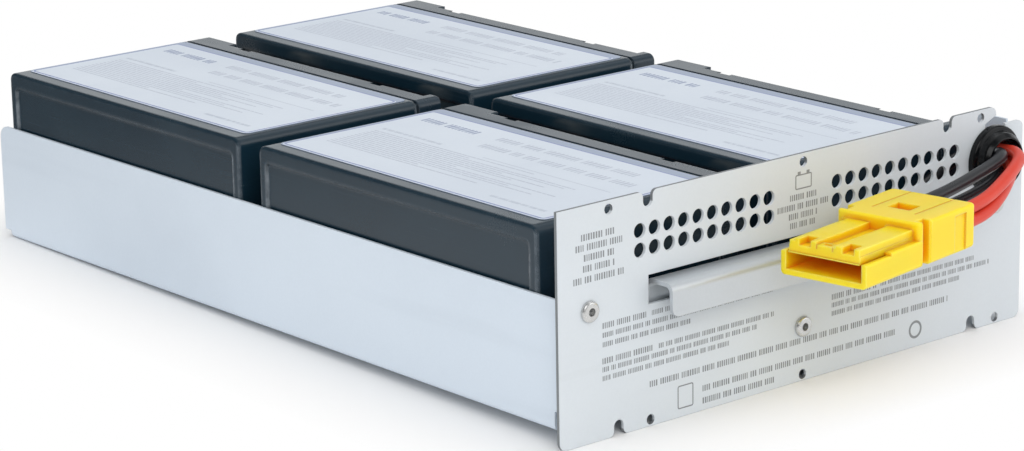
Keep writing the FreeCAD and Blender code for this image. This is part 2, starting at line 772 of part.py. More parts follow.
def make_container(block):
    """Moulded container with rounded edges and a shallow recess in its base."""
    body = block.body("container")
    section = sketch_on(body, "YZ_Plane")
    rectangle(section, "0", "0", "sizes.block_length", "sizes.block_width")
    pad(body, section, "layout.container_height")
    round_edges(body, long_edges(body), "sizes.block_edge")
    round_edges(body, edges_along(body, "y", x=0)[:1], "sizes.base_edge")
    recess = sketch_on(body, "YZ_Plane")
    inset = "sizes.base_recess_inset"
    drop = "sizes.base_recess_drop"
    rectangle(recess, inset, drop, f"sizes.block_length - {inset}", f"sizes.block_width - {drop}")
    pocket(body, recess, "sizes.base_recess_depth", backwards=True)
    corners = []
    end = size("base_recess_inset")
    side = size("base_recess_drop")
    for along in (end, size("block_length") - end):
        for up in (side, size("block_width") - side):
            corners += edges_along(body, "x", y=along, z=up)
    round_edges(body, corners, "sizes.base_recess_corner")
    return keep(body, f"battery_container_{block.name}")


def make_lid(block):
    """Lid with a seam groove, two raised shoulders, a vent cover and two terminal wells."""
    body = block.body("lid")
    groove = sketch_on(body, "YZ_Plane", "layout.container_height")
    depth = "sizes.seam_depth"
    rectangle(groove, depth, depth, f"sizes.block_length - {depth}", f"sizes.block_width - {depth}")
    pad(body, groove, "sizes.seam_groove")
    plate = sketch_on(body, "YZ_Plane", "layout.container_height + sizes.seam_groove")
    rectangle(plate, "0", "0", "sizes.block_length", "sizes.block_width")
    pad(body, plate, "sizes.lid_depth - sizes.seam_groove - sizes.shoulder_rise")

    shoulders = sketch_on(body, "YZ_Plane", "layout.lid_plate_top")
    low = "sizes.block_width - sizes.shoulder_width"
    rectangle(shoulders, "0", low, "sizes.front_shoulder", "sizes.block_width")
    rectangle(shoulders, "sizes.block_length - sizes.rear_shoulder", low,
              "sizes.block_length", "sizes.block_width")
    pad(body, shoulders, "sizes.shoulder_rise")
    cover = sketch_on(body, "YZ_Plane", "layout.lid_plate_top")
    rectangle(cover, "sizes.vent_cover_inset", "sizes.vent_cover_low",
              "sizes.block_length - sizes.vent_cover_inset",
              "sizes.vent_cover_low + sizes.vent_cover_width")
    pad(body, cover, "sizes.vent_cover_rise")
    round_edges(body, long_edges(body), "sizes.block_edge")
    top = size("block_height")
    rims = edges_along(body, "y", x=top) + edges_along(body, "z", x=top)
    round_edges(body, rims, "sizes.lid_edge")

    wells = sketch_on(body, "YZ_Plane", "sizes.block_height + sizes.cut_past")
    for along in TERMINAL_PLACES:
        circle(wells, along, "layout.terminal_height", "sizes.well_diameter")
    pocket(body, wells, "sizes.block_height + sizes.cut_past - layout.well_floor")
    return keep(body, f"battery_lid_{block.name}")


def make_terminals(block):
    """Two flat blades standing in the lid's wells, each with its locking hole."""
    blades = []
    under = "layout.block_base + layout.terminal_height - sizes.blade_sheet / 2"
    foot = f"{block.across} + layout.well_floor"
    for number, along in enumerate(TERMINAL_PLACES):
        blade = doc.addObject("Part::Box", f"blade_{block.name}_{number}")
        bind(blade, {
            "Length": "sizes.blade_rise", "Width": "sizes.blade_width",
            "Height": "sizes.blade_sheet", "Placement.Base.x": foot,
            "Placement.Base.y": f"{block.along} + {along} - sizes.blade_width / 2",
            "Placement.Base.z": under})
        drill = doc.addObject("Part::Cylinder", f"drill_{block.name}_{number}")
        bind(drill, {
            "Radius": "sizes.blade_hole / 2", "Height": "sizes.blade_sheet + 2 * sizes.cut_past",
            "Placement.Base.x": f"{foot} + sizes.blade_rise - sizes.blade_hole_setback",
            "Placement.Base.y": f"{block.along} + {along}",
            "Placement.Base.z": f"{under} - sizes.cut_past"})
        cut = doc.addObject("Part::Cut", f"terminal_{block.name}_{number}")
        cut.Base = blade
        cut.Tool = drill
        blades.append(cut)
    group = doc.addObject("Part::Compound", f"terminals_{block.name}")
    group.Links = blades
    return keep(group, f"battery_terminals_{block.name}")


def make_label(block):
    """Printed film on the block's upper side, nearer to its lid and rear end."""
    body = block.body("label")
    film = sketch_on(body, "XY_Plane", "sizes.block_width")
    rectangle(film, "sizes.label_base_margin", "sizes.label_front_margin",
              "layout.container_height - sizes.label_seam_margin",
              "sizes.block_length - sizes.label_rear_margin")
    pad(body, film, "sizes.label_sheet")
    sides = (size("label_base_margin"), size("container_height") - size("label_seam_margin"))
    ends = (size("label_front_margin"), size("block_length") - size("label_rear_margin"))
    corners = []
    for across in sides:
        for along in ends:
            corners += edges_along(body, "z", x=across, y=along)
    round_edges(body, corners, "sizes.label_corner")
    return keep(body, f"battery_label_{block.name}")


def make_foam(block):
    """Adhesive foam sheet that holds the block to the tray's floor."""
    foam = doc.addObject("Part::Box", f"foam_{block.name}")
    bind(foam, {
        "Length": "layout.container_height - 2 * sizes.foam_margin",
        "Width": "sizes.block_length - 2 * sizes.foam_margin", "Height": "sizes.foam_sheet",
        "Placement.Base.x": f"{block.across} + sizes.foam_margin",
        "Placement.Base.y": f"{block.along} + sizes.foam_margin",
        "Placement.Base.z": "sizes.tray_sheet"})
    return keep(foam, f"adhesive_pad_{block.name}")


def make_boots(block):
    """Two insulated flag receptacles pushed on the block's terminal blades."""
    boots = []
    base = "layout.lid_plate_top + sizes.boot_base"
    room = "sizes.boot_slot_clearance"
    middle = "layout.terminal_height"
    for number, along in enumerate(TERMINAL_PLACES):
        body = new_body(f"boot_{block.name}_{number}", block.across, f"{block.along} + {along}",
                        "layout.block_base")
        shell = sketch_on(body, "YZ_Plane", base)
        rectangle(shell, "-sizes.boot_width / 2", f"{middle} - sizes.boot_below",
                  "sizes.boot_width / 2", f"{middle} + sizes.boot_above")
        pad(body, shell, "sizes.boot_length")
        half = size("boot_width") / 2
        edges = [edges_along(body, "x", y=side * half) for side in (-1, 1)]
        round_edges(body, sum(edges, []), "sizes.boot_edge")
        mouth = sketch_on(body, "YZ_Plane", base)
        rectangle(mouth, f"-sizes.blade_width / 2 - {room}", f"{middle} - sizes.blade_sheet / 2 - {room}",
                  f"sizes.blade_width / 2 + {room}", f"{middle} + sizes.blade_sheet / 2 + {room}")
        pocket(body, mouth, f"sizes.blade_rise - sizes.well_depth - sizes.boot_base + {room}",
               backwards=True)
        boots.append(body)
    group = doc.addObject("Part::Compound", f"boots_{block.name}")
    group.Links = boots
    return keep(group, f"receptacles_{block.name}")


def connector_body(name):
    """An empty body in the connector's own frame: X to the cable end, -Y away from the panel."""
    body = new_body(name, "sizes.connector_across", "layout.panel_front - sizes.connector_out",
                    "sizes.connector_base")
    body.setExpression("Placement.Rotation.Angle", "sizes.connector_yaw * 1 deg")
    doc.recompute()
    return body


CONNECTOR_MIDDLE = "-sizes.connector_width / 2"
POLES = (f"{CONNECTOR_MIDDLE} + layout.pole_offset", f"{CONNECTOR_MIDDLE} - layout.pole_offset")


def raise_connector_body(body):
    """Raises the connector's main block, shrouded nose, upper shell, rails and latch."""
    near = "-sizes.connector_width"
    into_body = "sizes.nose_length + sizes.connector_corner"
    main = sketch_on(body, "XY_Plane")
    rectangle(main, "sizes.nose_length", near, "sizes.connector_length", "0")
    pad(body, main, "sizes.connector_height")
    sides = (-size("connector_width"), 0.0)
    posts = []
    for along in sides:
        for end in (size("nose_length"), size("connector_length")):
            posts += edges_along(body, "z", x=end, y=along)
    round_edges(body, posts, "sizes.connector_corner")
    top = size("connector_height")
    rims = edges_along(body, "x", z=top) + edges_along(body, "y", z=top)
    round_edges(body, rims, "sizes.connector_top_edge")

    shroud = sketch_on(body, "XY_Plane")
    rectangle(shroud, "0", near, into_body, "0")
    pad(body, shroud, "layout.shroud_top")
    steps = sketch_on(body, "XY_Plane", "layout.shroud_top")
    rectangle(steps, "sizes.side_slit_length", near, into_body, f"{near} + sizes.shell_inset")
    rectangle(steps, "sizes.side_slit_length", "-sizes.shell_inset", into_body, "0")
    pad(body, steps, "sizes.wall_step")
    feet = [edges_along(body, "x", y=along, z=0) for along in sides]
    round_edges(body, sum(feet, []), "sizes.connector_edge")
    walls = []
    for along in sides:
        for up in (size("shroud_top"), size("shroud_top") + size("wall_step")):
            walls += edges_along(body, "x", y=along, z=up)
    round_edges(body, walls, "sizes.connector_wall_edge")

    shell = sketch_on(body, "XY_Plane", "layout.shroud_top")
    rectangle(shell, "sizes.nose_lead", f"{near} + sizes.shell_inset",
              into_body, "-sizes.shell_inset")
    pad(body, shell, "layout.shell_top - layout.shroud_top")
    rails = sketch_on(body, "XY_Plane", "layout.shell_top")
    for pole in POLES:
        rectangle(rails, "sizes.nose_lead", f"{pole} - layout.rail_width / 2",
                  into_body, f"{pole} + layout.rail_width / 2")
    pad(body, rails, "layout.rail_top - layout.shell_top")
    latch = sketch_on(body, "XY_Plane", "layout.shell_top")
    rectangle(latch, "sizes.nose_lead", f"{CONNECTOR_MIDDLE} - sizes.latch_width / 2",
              "sizes.latch_length", f"{CONNECTOR_MIDDLE} + sizes.latch_width / 2")
    pad(body, latch, "sizes.shell_drop - sizes.latch_drop")


def cut_connector_nose(body):
    """Cuts the rails' ledges and pockets, the latch hole, the open mouth and the side slits."""
    above_rails = "layout.rail_top + sizes.cut_past"
    ledges = sketch_on(body, "XY_Plane", above_rails)
    outer_side = "layout.pole_offset + layout.rail_width / 2"
    for near, far in (
            (f"{CONNECTOR_MIDDLE} - {outer_side} - sizes.cut_past",
             f"{CONNECTOR_MIDDLE} - {outer_side} + sizes.rail_ledge"),
            (f"{CONNECTOR_MIDDLE} + {outer_side} - sizes.rail_ledge",
             f"{CONNECTOR_MIDDLE} + {outer_side} + sizes.cut_past")):
        rectangle(ledges, "sizes.nose_lead - sizes.cut_past", near,
                  "sizes.nose_length - sizes.cut_past", far)
    pocket(body, ledges, "sizes.rail_ledge_drop + sizes.cut_past")
    pockets = sketch_on(body, "XY_Plane", above_rails)
    for pole in POLES:
        middle = f"{pole} - sizes.rail_pocket_shift"
        rectangle(pockets, "sizes.nose_lead - sizes.cut_past", f"{middle} - sizes.rail_pocket / 2",
                  "sizes.nose_lead + sizes.rail_pocket_length", f"{middle} + sizes.rail_pocket / 2")
    pocket(body, pockets, "sizes.rail_pocket_depth + sizes.cut_past")
    hole = sketch_on(body, "XY_Plane", above_rails)
    hole_floor = "sizes.connector_height - sizes.latch_drop - sizes.latch_hole_depth"
    rectangle(hole, "sizes.latch_hole_setback", f"{CONNECTOR_MIDDLE} - sizes.latch_hole_width / 2",
              "sizes.latch_hole_setback + sizes.latch_hole_length",
              f"{CONNECTOR_MIDDLE} + sizes.latch_hole_width / 2")
    pocket(body, hole, f"{above_rails} - ({hole_floor})")
    mouth = sketch_on(body, "YZ_Plane", "-sizes.cut_past")
    rectangle(mouth, "-sizes.connector_width + sizes.shroud_wall", "sizes.mouth_floor",
              "-sizes.shroud_wall", "layout.shroud_top - sizes.mouth_roof")
    pocket(body, mouth, "sizes.mouth_depth + sizes.cut_past", backwards=True)
    slits = sketch_on(body, "XY_Plane", "layout.shroud_top")
    inside = "-sizes.connector_width + sizes.shroud_wall"
    rectangle(slits, "-sizes.cut_past", inside, "sizes.side_slit_length", f"{inside} + sizes.side_slit")
    rectangle(slits, "-sizes.cut_past", "-sizes.shroud_wall - sizes.side_slit",
              "sizes.side_slit_length", "-sizes.shroud_wall")
    pocket(body, slits, "sizes.side_slit_depth")


def cut_contact_ways(body):
    """Cuts the cable channels from the rear and the tongue slots that lead to the mouth."""
    channels = sketch_on(body, "YZ_Plane", "sizes.connector_length + sizes.cut_past")
    slots = sketch_on(body, "YZ_Plane", "sizes.tongue_setback")
    room = "sizes.barrel_clearance"
    for pole in POLES:
        rectangle(channels, f"{pole} - layout.channel_half", "sizes.channel_floor",
                  f"{pole} + layout.channel_half", "layout.channel_high")
        rectangle(slots, f"{pole} - layout.tongue_half - {room}", "layout.tongue_low - sizes.cut_past",
                  f"{pole} + layout.tongue_half + {room}",
                  f"layout.tongue_low + sizes.tongue_sheet + {room}")
    pocket(body, channels, "sizes.channel_depth + sizes.cut_past")
    pocket(body, slots, "layout.barrel_start - sizes.tongue_setback + sizes.cut_past", backwards=True)


def cut_connector_grips(body):
    """Cuts the finger grooves, the side panels, the top window and the two top grooves."""
    near = "-sizes.connector_width"
    grips = sketch_on(body, "XY_Plane", "-sizes.cut_past")
    place = "sizes.nose_length + sizes.finger_groove_setback"
    outside = "sizes.finger_groove / 2 - sizes.finger_groove_depth"
    circle(grips, place, f"{near} - ({outside})", "sizes.finger_groove")
    circle(grips, place, outside, "sizes.finger_groove")
    pocket(body, grips, "sizes.connector_height + 2 * sizes.cut_past", backwards=True)
    panels = sketch_on(body, "XY_Plane", "-sizes.cut_past")
    end = "sizes.connector_length - sizes.side_panel_setback"
    rectangle(panels, f"{end} - sizes.side_panel_length", f"{near} - sizes.cut_past",
              end, f"{near} + sizes.side_panel_depth")
    rectangle(panels, f"{end} - sizes.side_panel_length", "-sizes.side_panel_depth", end, "sizes.cut_past")
    pocket(body, panels, "sizes.connector_height - sizes.side_panel_roof + sizes.cut_past", backwards=True)
    window = sketch_on(body, "XY_Plane", "sizes.connector_height + sizes.cut_past")
    start = "sizes.nose_length + sizes.window_setback"
    rectangle(window, start, f"{CONNECTOR_MIDDLE} - sizes.window_width / 2",
              f"{start} + sizes.window_length", f"{CONNECTOR_MIDDLE} + sizes.window_width / 2")
    pocket(body, window, "sizes.window_depth + sizes.cut_past")
    lines = sketch_on(body, "XY_Plane", "sizes.connector_height + sizes.cut_past")
    for pole in POLES:
        rectangle(lines, "sizes.nose_length + sizes.top_groove_setback",
                  f"{pole} - sizes.top_groove / 2", "sizes.connector_length + sizes.cut_past",
                  f"{pole} + sizes.top_groove / 2")
    pocket(body, lines, "sizes.top_groove_depth + sizes.cut_past")


def make_connector():
    """Moulded two-pole housing: shrouded mouth, two contact rails, grip grooves and a window."""
    body = connector_body("connector")
    raise_connector_body(body)
    cut_connector_nose(body)
    cut_contact_ways(body)
    cut_connector_grips(body)
    return keep(body, "connector_housing")


def make_contact(pole, name):
    """Contact with a flat tongue above the mouth and a crimp barrel for two cables."""
    body = connector_body(f"contact_{name}")
    room = "sizes.barrel_clearance"
    slim = f"(layout.channel_half - {room})"
    tongue = sketch_on(body, "XY_Plane", "layout.tongue_low")
    rectangle(tongue, f"sizes.tongue_setback + {room}", f"{pole} - layout.tongue_half",
              f"layout.barrel_start - {room}", f"{pole} + layout.tongue_half")
    pad(body, tongue, "sizes.tongue_sheet")
    neck = sketch_on(body, "XY_Plane", "layout.tongue_low")
    rectangle(neck, "layout.barrel_start - sizes.tongue_overlap", f"{pole} - {slim}",
              "layout.barrel_start + sizes.tongue_overlap", f"{pole} + {slim}")
    pad(body, neck, "sizes.tongue_sheet")
    barrel = sketch_on(body, "XY_Plane", f"sizes.channel_floor + {room}")
    rectangle(barrel, f"layout.barrel_start + {room}", f"{pole} - {slim}",
              "sizes.connector_length - sizes.cable_insertion", f"{pole} + {slim}")
    pad(body, barrel, f"layout.channel_high - sizes.channel_floor - 2 * {room}")
    return keep(body, f"connector_contact_{name}")


# Routes as (across, out from the panel's front face, up).  Outside the panel they run from a
# contact's barrel to the bushing, and inside it from the bushing to a receptacle.
FREE_ROUTES = {
    "cable_black_upper": [
        (30.88, 18.33, 53.85), (41.72, 16.48, 53.85), (58.0, 15.6, 55.6), (76.0, 15.2, 59.6),
        (86.0, 12.6, 61.2), (90.6, 7.6, 60.8), (91.2, 4.0, 60.0), (91.2, 1.0, 60.0)],
    "cable_black_lower": [
        (30.88, 18.33, 48.95), (41.72, 16.48, 48.95), (57.0, 14.6, 49.1), (72.5, 13.4, 50.8),
        (82.5, 11.8, 52.8), (89.0, 8.4, 54.5), (92.1, 4.4, 55.4), (92.1, 1.0, 55.4)],
    "cable_red_upper": [
        (33.76, 35.19, 53.85), (44.6, 33.34, 53.85), (58.0, 30.8, 54.8), (71.0, 26.9, 57.9),
        (82.0, 22.2, 60.0), (91.0, 16.4, 60.8), (96.0, 9.0, 60.8), (96.8, 4.4, 60.0),
        (96.8, 1.0, 60.0)],
    "cable_red_lower": [
        (33.76, 35.19, 48.95), (44.6, 33.34, 48.95), (58.0, 31.2, 49.9), (70.3, 26.4, 53.0),
        (80.6, 20.4, 55.2), (89.6, 13.9, 56.2), (96.0, 8.0, 55.9), (98.2, 4.2, 55.2),
        (98.2, 1.0, 55.2)],
}
HELD_ROUTES = {
    "lead_black_left": [
        (91.2, 1.0, 60.0), (91.2, -1.8, 60.0), (89.4, -6.6, 58.8), (82.0, -8.8, 56.0),
        (56.0, -8.2, 44.0), (26.0, -8.4, 28.6), (4.0, -7.2, 18.4), (-5.0, -10.0, 17.0),
        (-9.0, -24.0, 17.6), (-9.8, -38.7, 26.0), (-9.4, -48.3, 42.0), (-9.4, -48.3, 52.2)],
    "lead_red_left": [
        (98.2, 1.0, 55.2), (98.2, -2.4, 55.2), (98.0, -5.6, 53.2), (96.8, -7.4, 48.8),
        (92.4, -8.2, 44.6), (83.0, -8.4, 41.4), (67.0, -8.4, 36.2), (46.0, -8.4, 29.4),
        (26.0, -8.4, 22.0), (10.0, -8.0, 14.6), (0.2, -8.6, 11.4), (-3.6, -13.6, 10.6),
        (-3.4, -25.0, 10.4), (-3.2, -46.0, 10.6), (-3.2, -84.0, 11.6), (-3.2, -130.0, 12.6),
        (-3.8, -182.0, 12.4), (-3.6, -236.0, 15.0), (-6.4, -266.0, 21.5), (-9.2, -287.5, 33.0),
        (-9.4, -295.6, 44.0), (-9.4, -295.6, 52.2)],
    "lead_black_right": [
        (92.1, 1.0, 55.4), (92.1, -1.6, 55.4), (93.0, -5.4, 55.6), (95.4, -10.0, 55.0),
        (97.6, -17.0, 51.0), (98.2, -29.0, 44.0), (97.5, -41.2, 42.0), (97.1, -47.3, 46.2),
        (97.1, -47.3, 52.2)],
    "lead_red_right": [
        (96.8, 1.0, 60.0), (96.8, -1.8, 60.0), (97.6, -5.4, 59.2), (100.4, -9.2, 55.2),
        (102.4, -12.6, 47.0), (102.6, -16.6, 35.0), (101.6, -25.0, 23.4), (100.4, -46.0, 14.4),
        (99.8, -90.0, 12.4), (100.0, -146.0, 12.8), (99.6, -204.0, 12.6), (99.2, -250.0, 16.0),
        (97.8, -276.0, 24.6), (97.1, -291.2, 37.0), (97.1, -293.5, 45.0), (97.1, -293.5, 52.2)],
    "jumper_left": [
        (-9.4, -132.3, 52.2), (-9.4, -132.3, 45.0), (-9.5, -136.7, 36.0), (-9.8, -152.0, 30.4),
        (-9.6, -170.8, 29.4), (-9.2, -190.0, 30.6), (-9.4, -207.2, 36.0), (-9.4, -211.6, 45.0),
        (-9.4, -211.6, 52.2)],
    "jumper_right": [
        (97.1, -131.3, 52.2), (97.1, -131.3, 45.0), (97.2, -135.8, 36.0), (97.6, -151.0, 30.4),
        (97.2, -168.8, 29.4), (97.0, -187.0, 30.6), (97.1, -205.0, 36.0), (97.1, -209.5, 45.0),
        (97.1, -209.5, 52.2)],
}


def rounded_path(points):
    """Straight runs joined by tangent arcs, each as large as its two runs allow."""
    edges = []
    radii = []
    start = points[0]
    for before, corner, after in zip(points, points[1:], points[2:]):
        arriving = (corner - before).normalize()
        leaving = (after - corner).normalize()
        half_turn = arriving.getAngle(leaving) / 2
        cut = ARC_SHARE * min((corner - before).Length, (after - corner).Length)
        radius = cut / math.tan(half_turn)
        radii.append(radius)
        enter = corner - arriving * cut
        leave = corner + leaving * cut
        inward = (leaving - arriving).normalize()
        middle = corner + inward * (radius / math.cos(half_turn) - radius)
        edges.append(Part.LineSegment(start, enter).toShape())
        edges.append(Part.Arc(enter, middle, leave).toShape())
        start = leave
    edges.append(Part.LineSegment(start, points[-1]).toShape())
    return Part.Wire(edges), radii


def make_cable(label, route):
    """Round cable swept along its route."""
    front = size("panel_front")
    points = [Vector(across, front - out, up) for across, out, up in route]
    path, radii = rounded_path(points)
    radius = size("cable_diameter") / 2
    section = Part.Wire(Part.makeCircle(radius, points[0], points[1] - points[0]))
    tube = path.makePipeShell([section], True, False)
    expected = math.pi * radius ** 2 * path.Length
    print(f"{label}: length {path.Length:.1f}, smallest radius {min(radii):.1f},",
          f"volume {tube.Volume / expected:.4f} of section times length")
    cable = doc.addObject("Part::Feature", label)
    cable.Shape = tube
    return keep(cable, label)


def build():
    """Makes every sub-part in the order in which the cartridge is put together."""
    make_tray()
    make_front_panel()
    make_pull_handle()
    make_rivets()
    make_bushing()
    for block in BLOCKS:
        make_foam(block)
        make_container(block)
        make_lid(block)
        make_terminals(block)
        make_label(block)
        make_boots(block)
    make_connector()
    make_contact(POLES[0], "negative")
    make_contact(POLES[1], "positive")
    for label, route in (FREE_ROUTES | HELD_ROUTES).items():
        make_cable(label, route)


def check_and_write():
    """Stops on any failed object or bad shape, then writes one file for each sub-part."""
    doc.recompute()
    failed = [item.Name for item in doc.Objects if {"Invalid", "Error"} & set(item.State)]
    if failed:
        raise RuntimeError(f"failed objects: {failed}")
    for node in nodes:
        if node.Shape.isNull() or not node.Shape.isValid():
            raise RuntimeError(f"bad shape: {node.Label}")
    os.makedirs("parts", exist_ok=True)
    for node in nodes:
        node.Shape.exportStep(os.path.join("parts", f"{node.Label}.step"))
        box = node.Shape.BoundBox
        print(f"{node.Label}: {len(node.Shape.Solids)} solid(s), {node.Shape.Volume:.0f} mm3,",
              f"{box.XLength:.1f} x {box.YLength:.1f} x {box.ZLength:.1f}")


build()
check_and_write()
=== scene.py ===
"""Looks of a slide-in battery cartridge: finishes, print, cables, connector grips, light and camera."""
import json
import logging
import math
import random
from dataclasses import dataclass, field, replace
from enum import Enum, IntEnum

import bmesh
import bpy
from mathutils import Matrix, Vector


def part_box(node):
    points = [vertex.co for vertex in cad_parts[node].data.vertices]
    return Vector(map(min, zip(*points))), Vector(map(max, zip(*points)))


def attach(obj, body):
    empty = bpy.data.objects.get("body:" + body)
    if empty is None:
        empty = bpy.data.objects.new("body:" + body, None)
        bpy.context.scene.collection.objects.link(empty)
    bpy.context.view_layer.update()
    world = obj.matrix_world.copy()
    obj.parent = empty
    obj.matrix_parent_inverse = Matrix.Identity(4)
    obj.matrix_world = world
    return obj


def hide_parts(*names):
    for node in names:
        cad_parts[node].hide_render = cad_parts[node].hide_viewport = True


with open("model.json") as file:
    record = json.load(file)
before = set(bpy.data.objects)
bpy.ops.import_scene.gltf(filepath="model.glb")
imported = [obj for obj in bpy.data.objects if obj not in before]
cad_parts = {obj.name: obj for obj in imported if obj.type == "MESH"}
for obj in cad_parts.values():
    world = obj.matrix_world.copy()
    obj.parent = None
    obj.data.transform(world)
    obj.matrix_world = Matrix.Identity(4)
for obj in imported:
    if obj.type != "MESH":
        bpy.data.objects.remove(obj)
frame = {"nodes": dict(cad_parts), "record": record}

log = logging.getLogger("cartridge")

MM = 0.001
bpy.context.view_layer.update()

Colour = tuple[float, float, float, float]
Point = tuple[float, float, float]
Box = tuple[float, float, float, float]
Input = bpy.types.NodeSocket | float | tuple[float, ...]


def tone(red: int, green: int, blue: int) -> Colour:
    """Turns a display tone into a linear colour.

    Args:
        red: Red step from 0 to 255.
        green: Green step from 0 to 255.
        blue: Blue step from 0 to 255.

    Returns:
        The linear colour with full opacity.
    """
    def linear(step: int) -> float:
        """Linear share of one display step, by the display standard's own curve."""
        share = step / 255
        return share / 12.92 if share <= 0.04045 else ((share + 0.055) / 1.055) ** 2.4

    return linear(red), linear(green), linear(blue), 1.0


def in_metres(box: Box) -> Box:
    """A box of millimetres, in metres."""
    left, low, right, high = box
    return left * MM, low * MM, right * MM, high * MM


def shrunk(box: Box, inset: float) -> Box:
    """A box with all its borders drawn in."""
    left, low, right, high = box
    return left + inset, low + inset, right - inset, high - inset


def new_mesh(name: str, source: bmesh.types.BMesh) -> bpy.types.Mesh:
    """Turns an edit mesh into mesh data.

    Args:
        name: The data's name.
        source: The edit mesh, which is freed.

    Returns:
        The mesh data.
    """
    data = bpy.data.meshes.new(name)
    source.to_mesh(data)
    source.free()
    return data


def add_object(name: str, data: bpy.types.ID) -> bpy.types.Object:
    """Adds an object to the scene.

    Args:
        name: Its name.
        data: Its mesh, curve, camera or lamp.

    Returns:
        The new object.
    """
    item = bpy.data.objects.new(name, data)
    bpy.context.scene.collection.objects.link(item)
    return item


class Graph:
    """Adds nodes to one node tree and links them."""

    MIX_SHARE = 0
    MIX_UNDER = 6
    MIX_OVER = 7
    MIX_RESULT = 2

    def __init__(self, tree: bpy.types.NodeTree) -> None:
        """Keeps the tree that the nodes go into."""
        self.tree = tree

    @classmethod
    def afresh(cls, owner: bpy.types.Material | bpy.types.World) -> "Graph":
        """Starts the nodes of a material or a world.

        Args:
            owner: What the nodes are for.

        Returns:
            Its empty graph.
        """
        owner.use_nodes = True
        owner.node_tree.nodes.clear()
        return cls(owner.node_tree)

    def node(self, kind: str, inputs: dict[str | int, Input] | None = None,
             **settings: object) -> bpy.types.Node:
        """Adds one node.

        Args:
            kind: Blender's name of the node type.
            inputs: Sockets to link or values to set, by input name or number.
            **settings: Properties of the node itself.

        Returns:
            The new node.
        """
        made = self.tree.nodes.new(kind)
        for name, value in settings.items():
            setattr(made, name, value)
        for name, value in (inputs or {}).items():
            if isinstance(value, bpy.types.NodeSocket):
                self.tree.links.new(value, made.inputs[name])
            else:
                made.inputs[name].default_value = value
        return made

    def maths(self, operation: str, first: Input, second: Input) -> bpy.types.NodeSocket:
        """Adds a calculation with two values.

        Args:
            operation: Blender's name of the operation.
            first: Left-hand value.
            second: Right-hand value.

        Returns:
            The result's socket.
        """
        return self.node("ShaderNodeMath", {0: first, 1: second}, operation=operation).outputs[0]

    def vector(self, operation: str, *values: Input) -> bpy.types.Node:
        """Adds a calculation with vectors.

        Args:
            operation: Blender's name of the operation.
            *values: The vectors in order.

        Returns:
            The new node.
        """
        return self.node("ShaderNodeVectorMath", dict(enumerate(values)), operation=operation)

    def remap(self, value: Input, low: float, high: float, to_low: Input = 0.0,
              to_high: Input = 1.0) -> bpy.types.NodeSocket:
        """Stretches a range of values to another one.

        Args:
            value: The value to stretch.
            low: Where the range starts.
            high: Where the range ends.
            to_low: Result at the start.
            to_high: Result at the end.

        Returns:
            The clamped result's socket.
        """
        return self.node("ShaderNodeMapRange", {
            "Value": value, "From Min": low, "From Max": high,
            "To Min": to_low, "To Max": to_high}).outputs[0]

    def blend(self, share: Input, under: Input, over: Input) -> bpy.types.NodeSocket:
        """Lays one colour over another.

        Args:
            share: How much of the upper colour shows.
            under: The lower colour.
            over: The upper colour.

        Returns:
            The mixed colour's socket.
        """
        mixer = self.node("ShaderNodeMix", {
            self.MIX_SHARE: share, self.MIX_UNDER: under, self.MIX_OVER: over}, data_type="RGBA")
        return mixer.outputs[self.MIX_RESULT]

    def noise(self, place: Input, scale: Input, detail: float) -> bpy.types.NodeSocket:
        """Adds a cloudy pattern.

        Args:
            place: Coordinates that the pattern is laid in.
            scale: How fine it is.
            detail: How many finer layers it has.

        Returns:
            The pattern's value socket.
        """
        return self.node("ShaderNodeTexNoise", {
            "Vector": place, "Scale": scale, "Detail": detail}).outputs["Fac"]


class Effect(Enum):
    """Surface effects that several finishes share."""

    VARIATION = "surface_variation"
    # Rounded edges, with a painted highlight and wear along them.
    EDGES = "rounded_edges_and_highlight"
    MARKS = "handling_marks"
    # Painted shade in hollows and deep recesses.
    CAVITY = "painted_recess_shade"


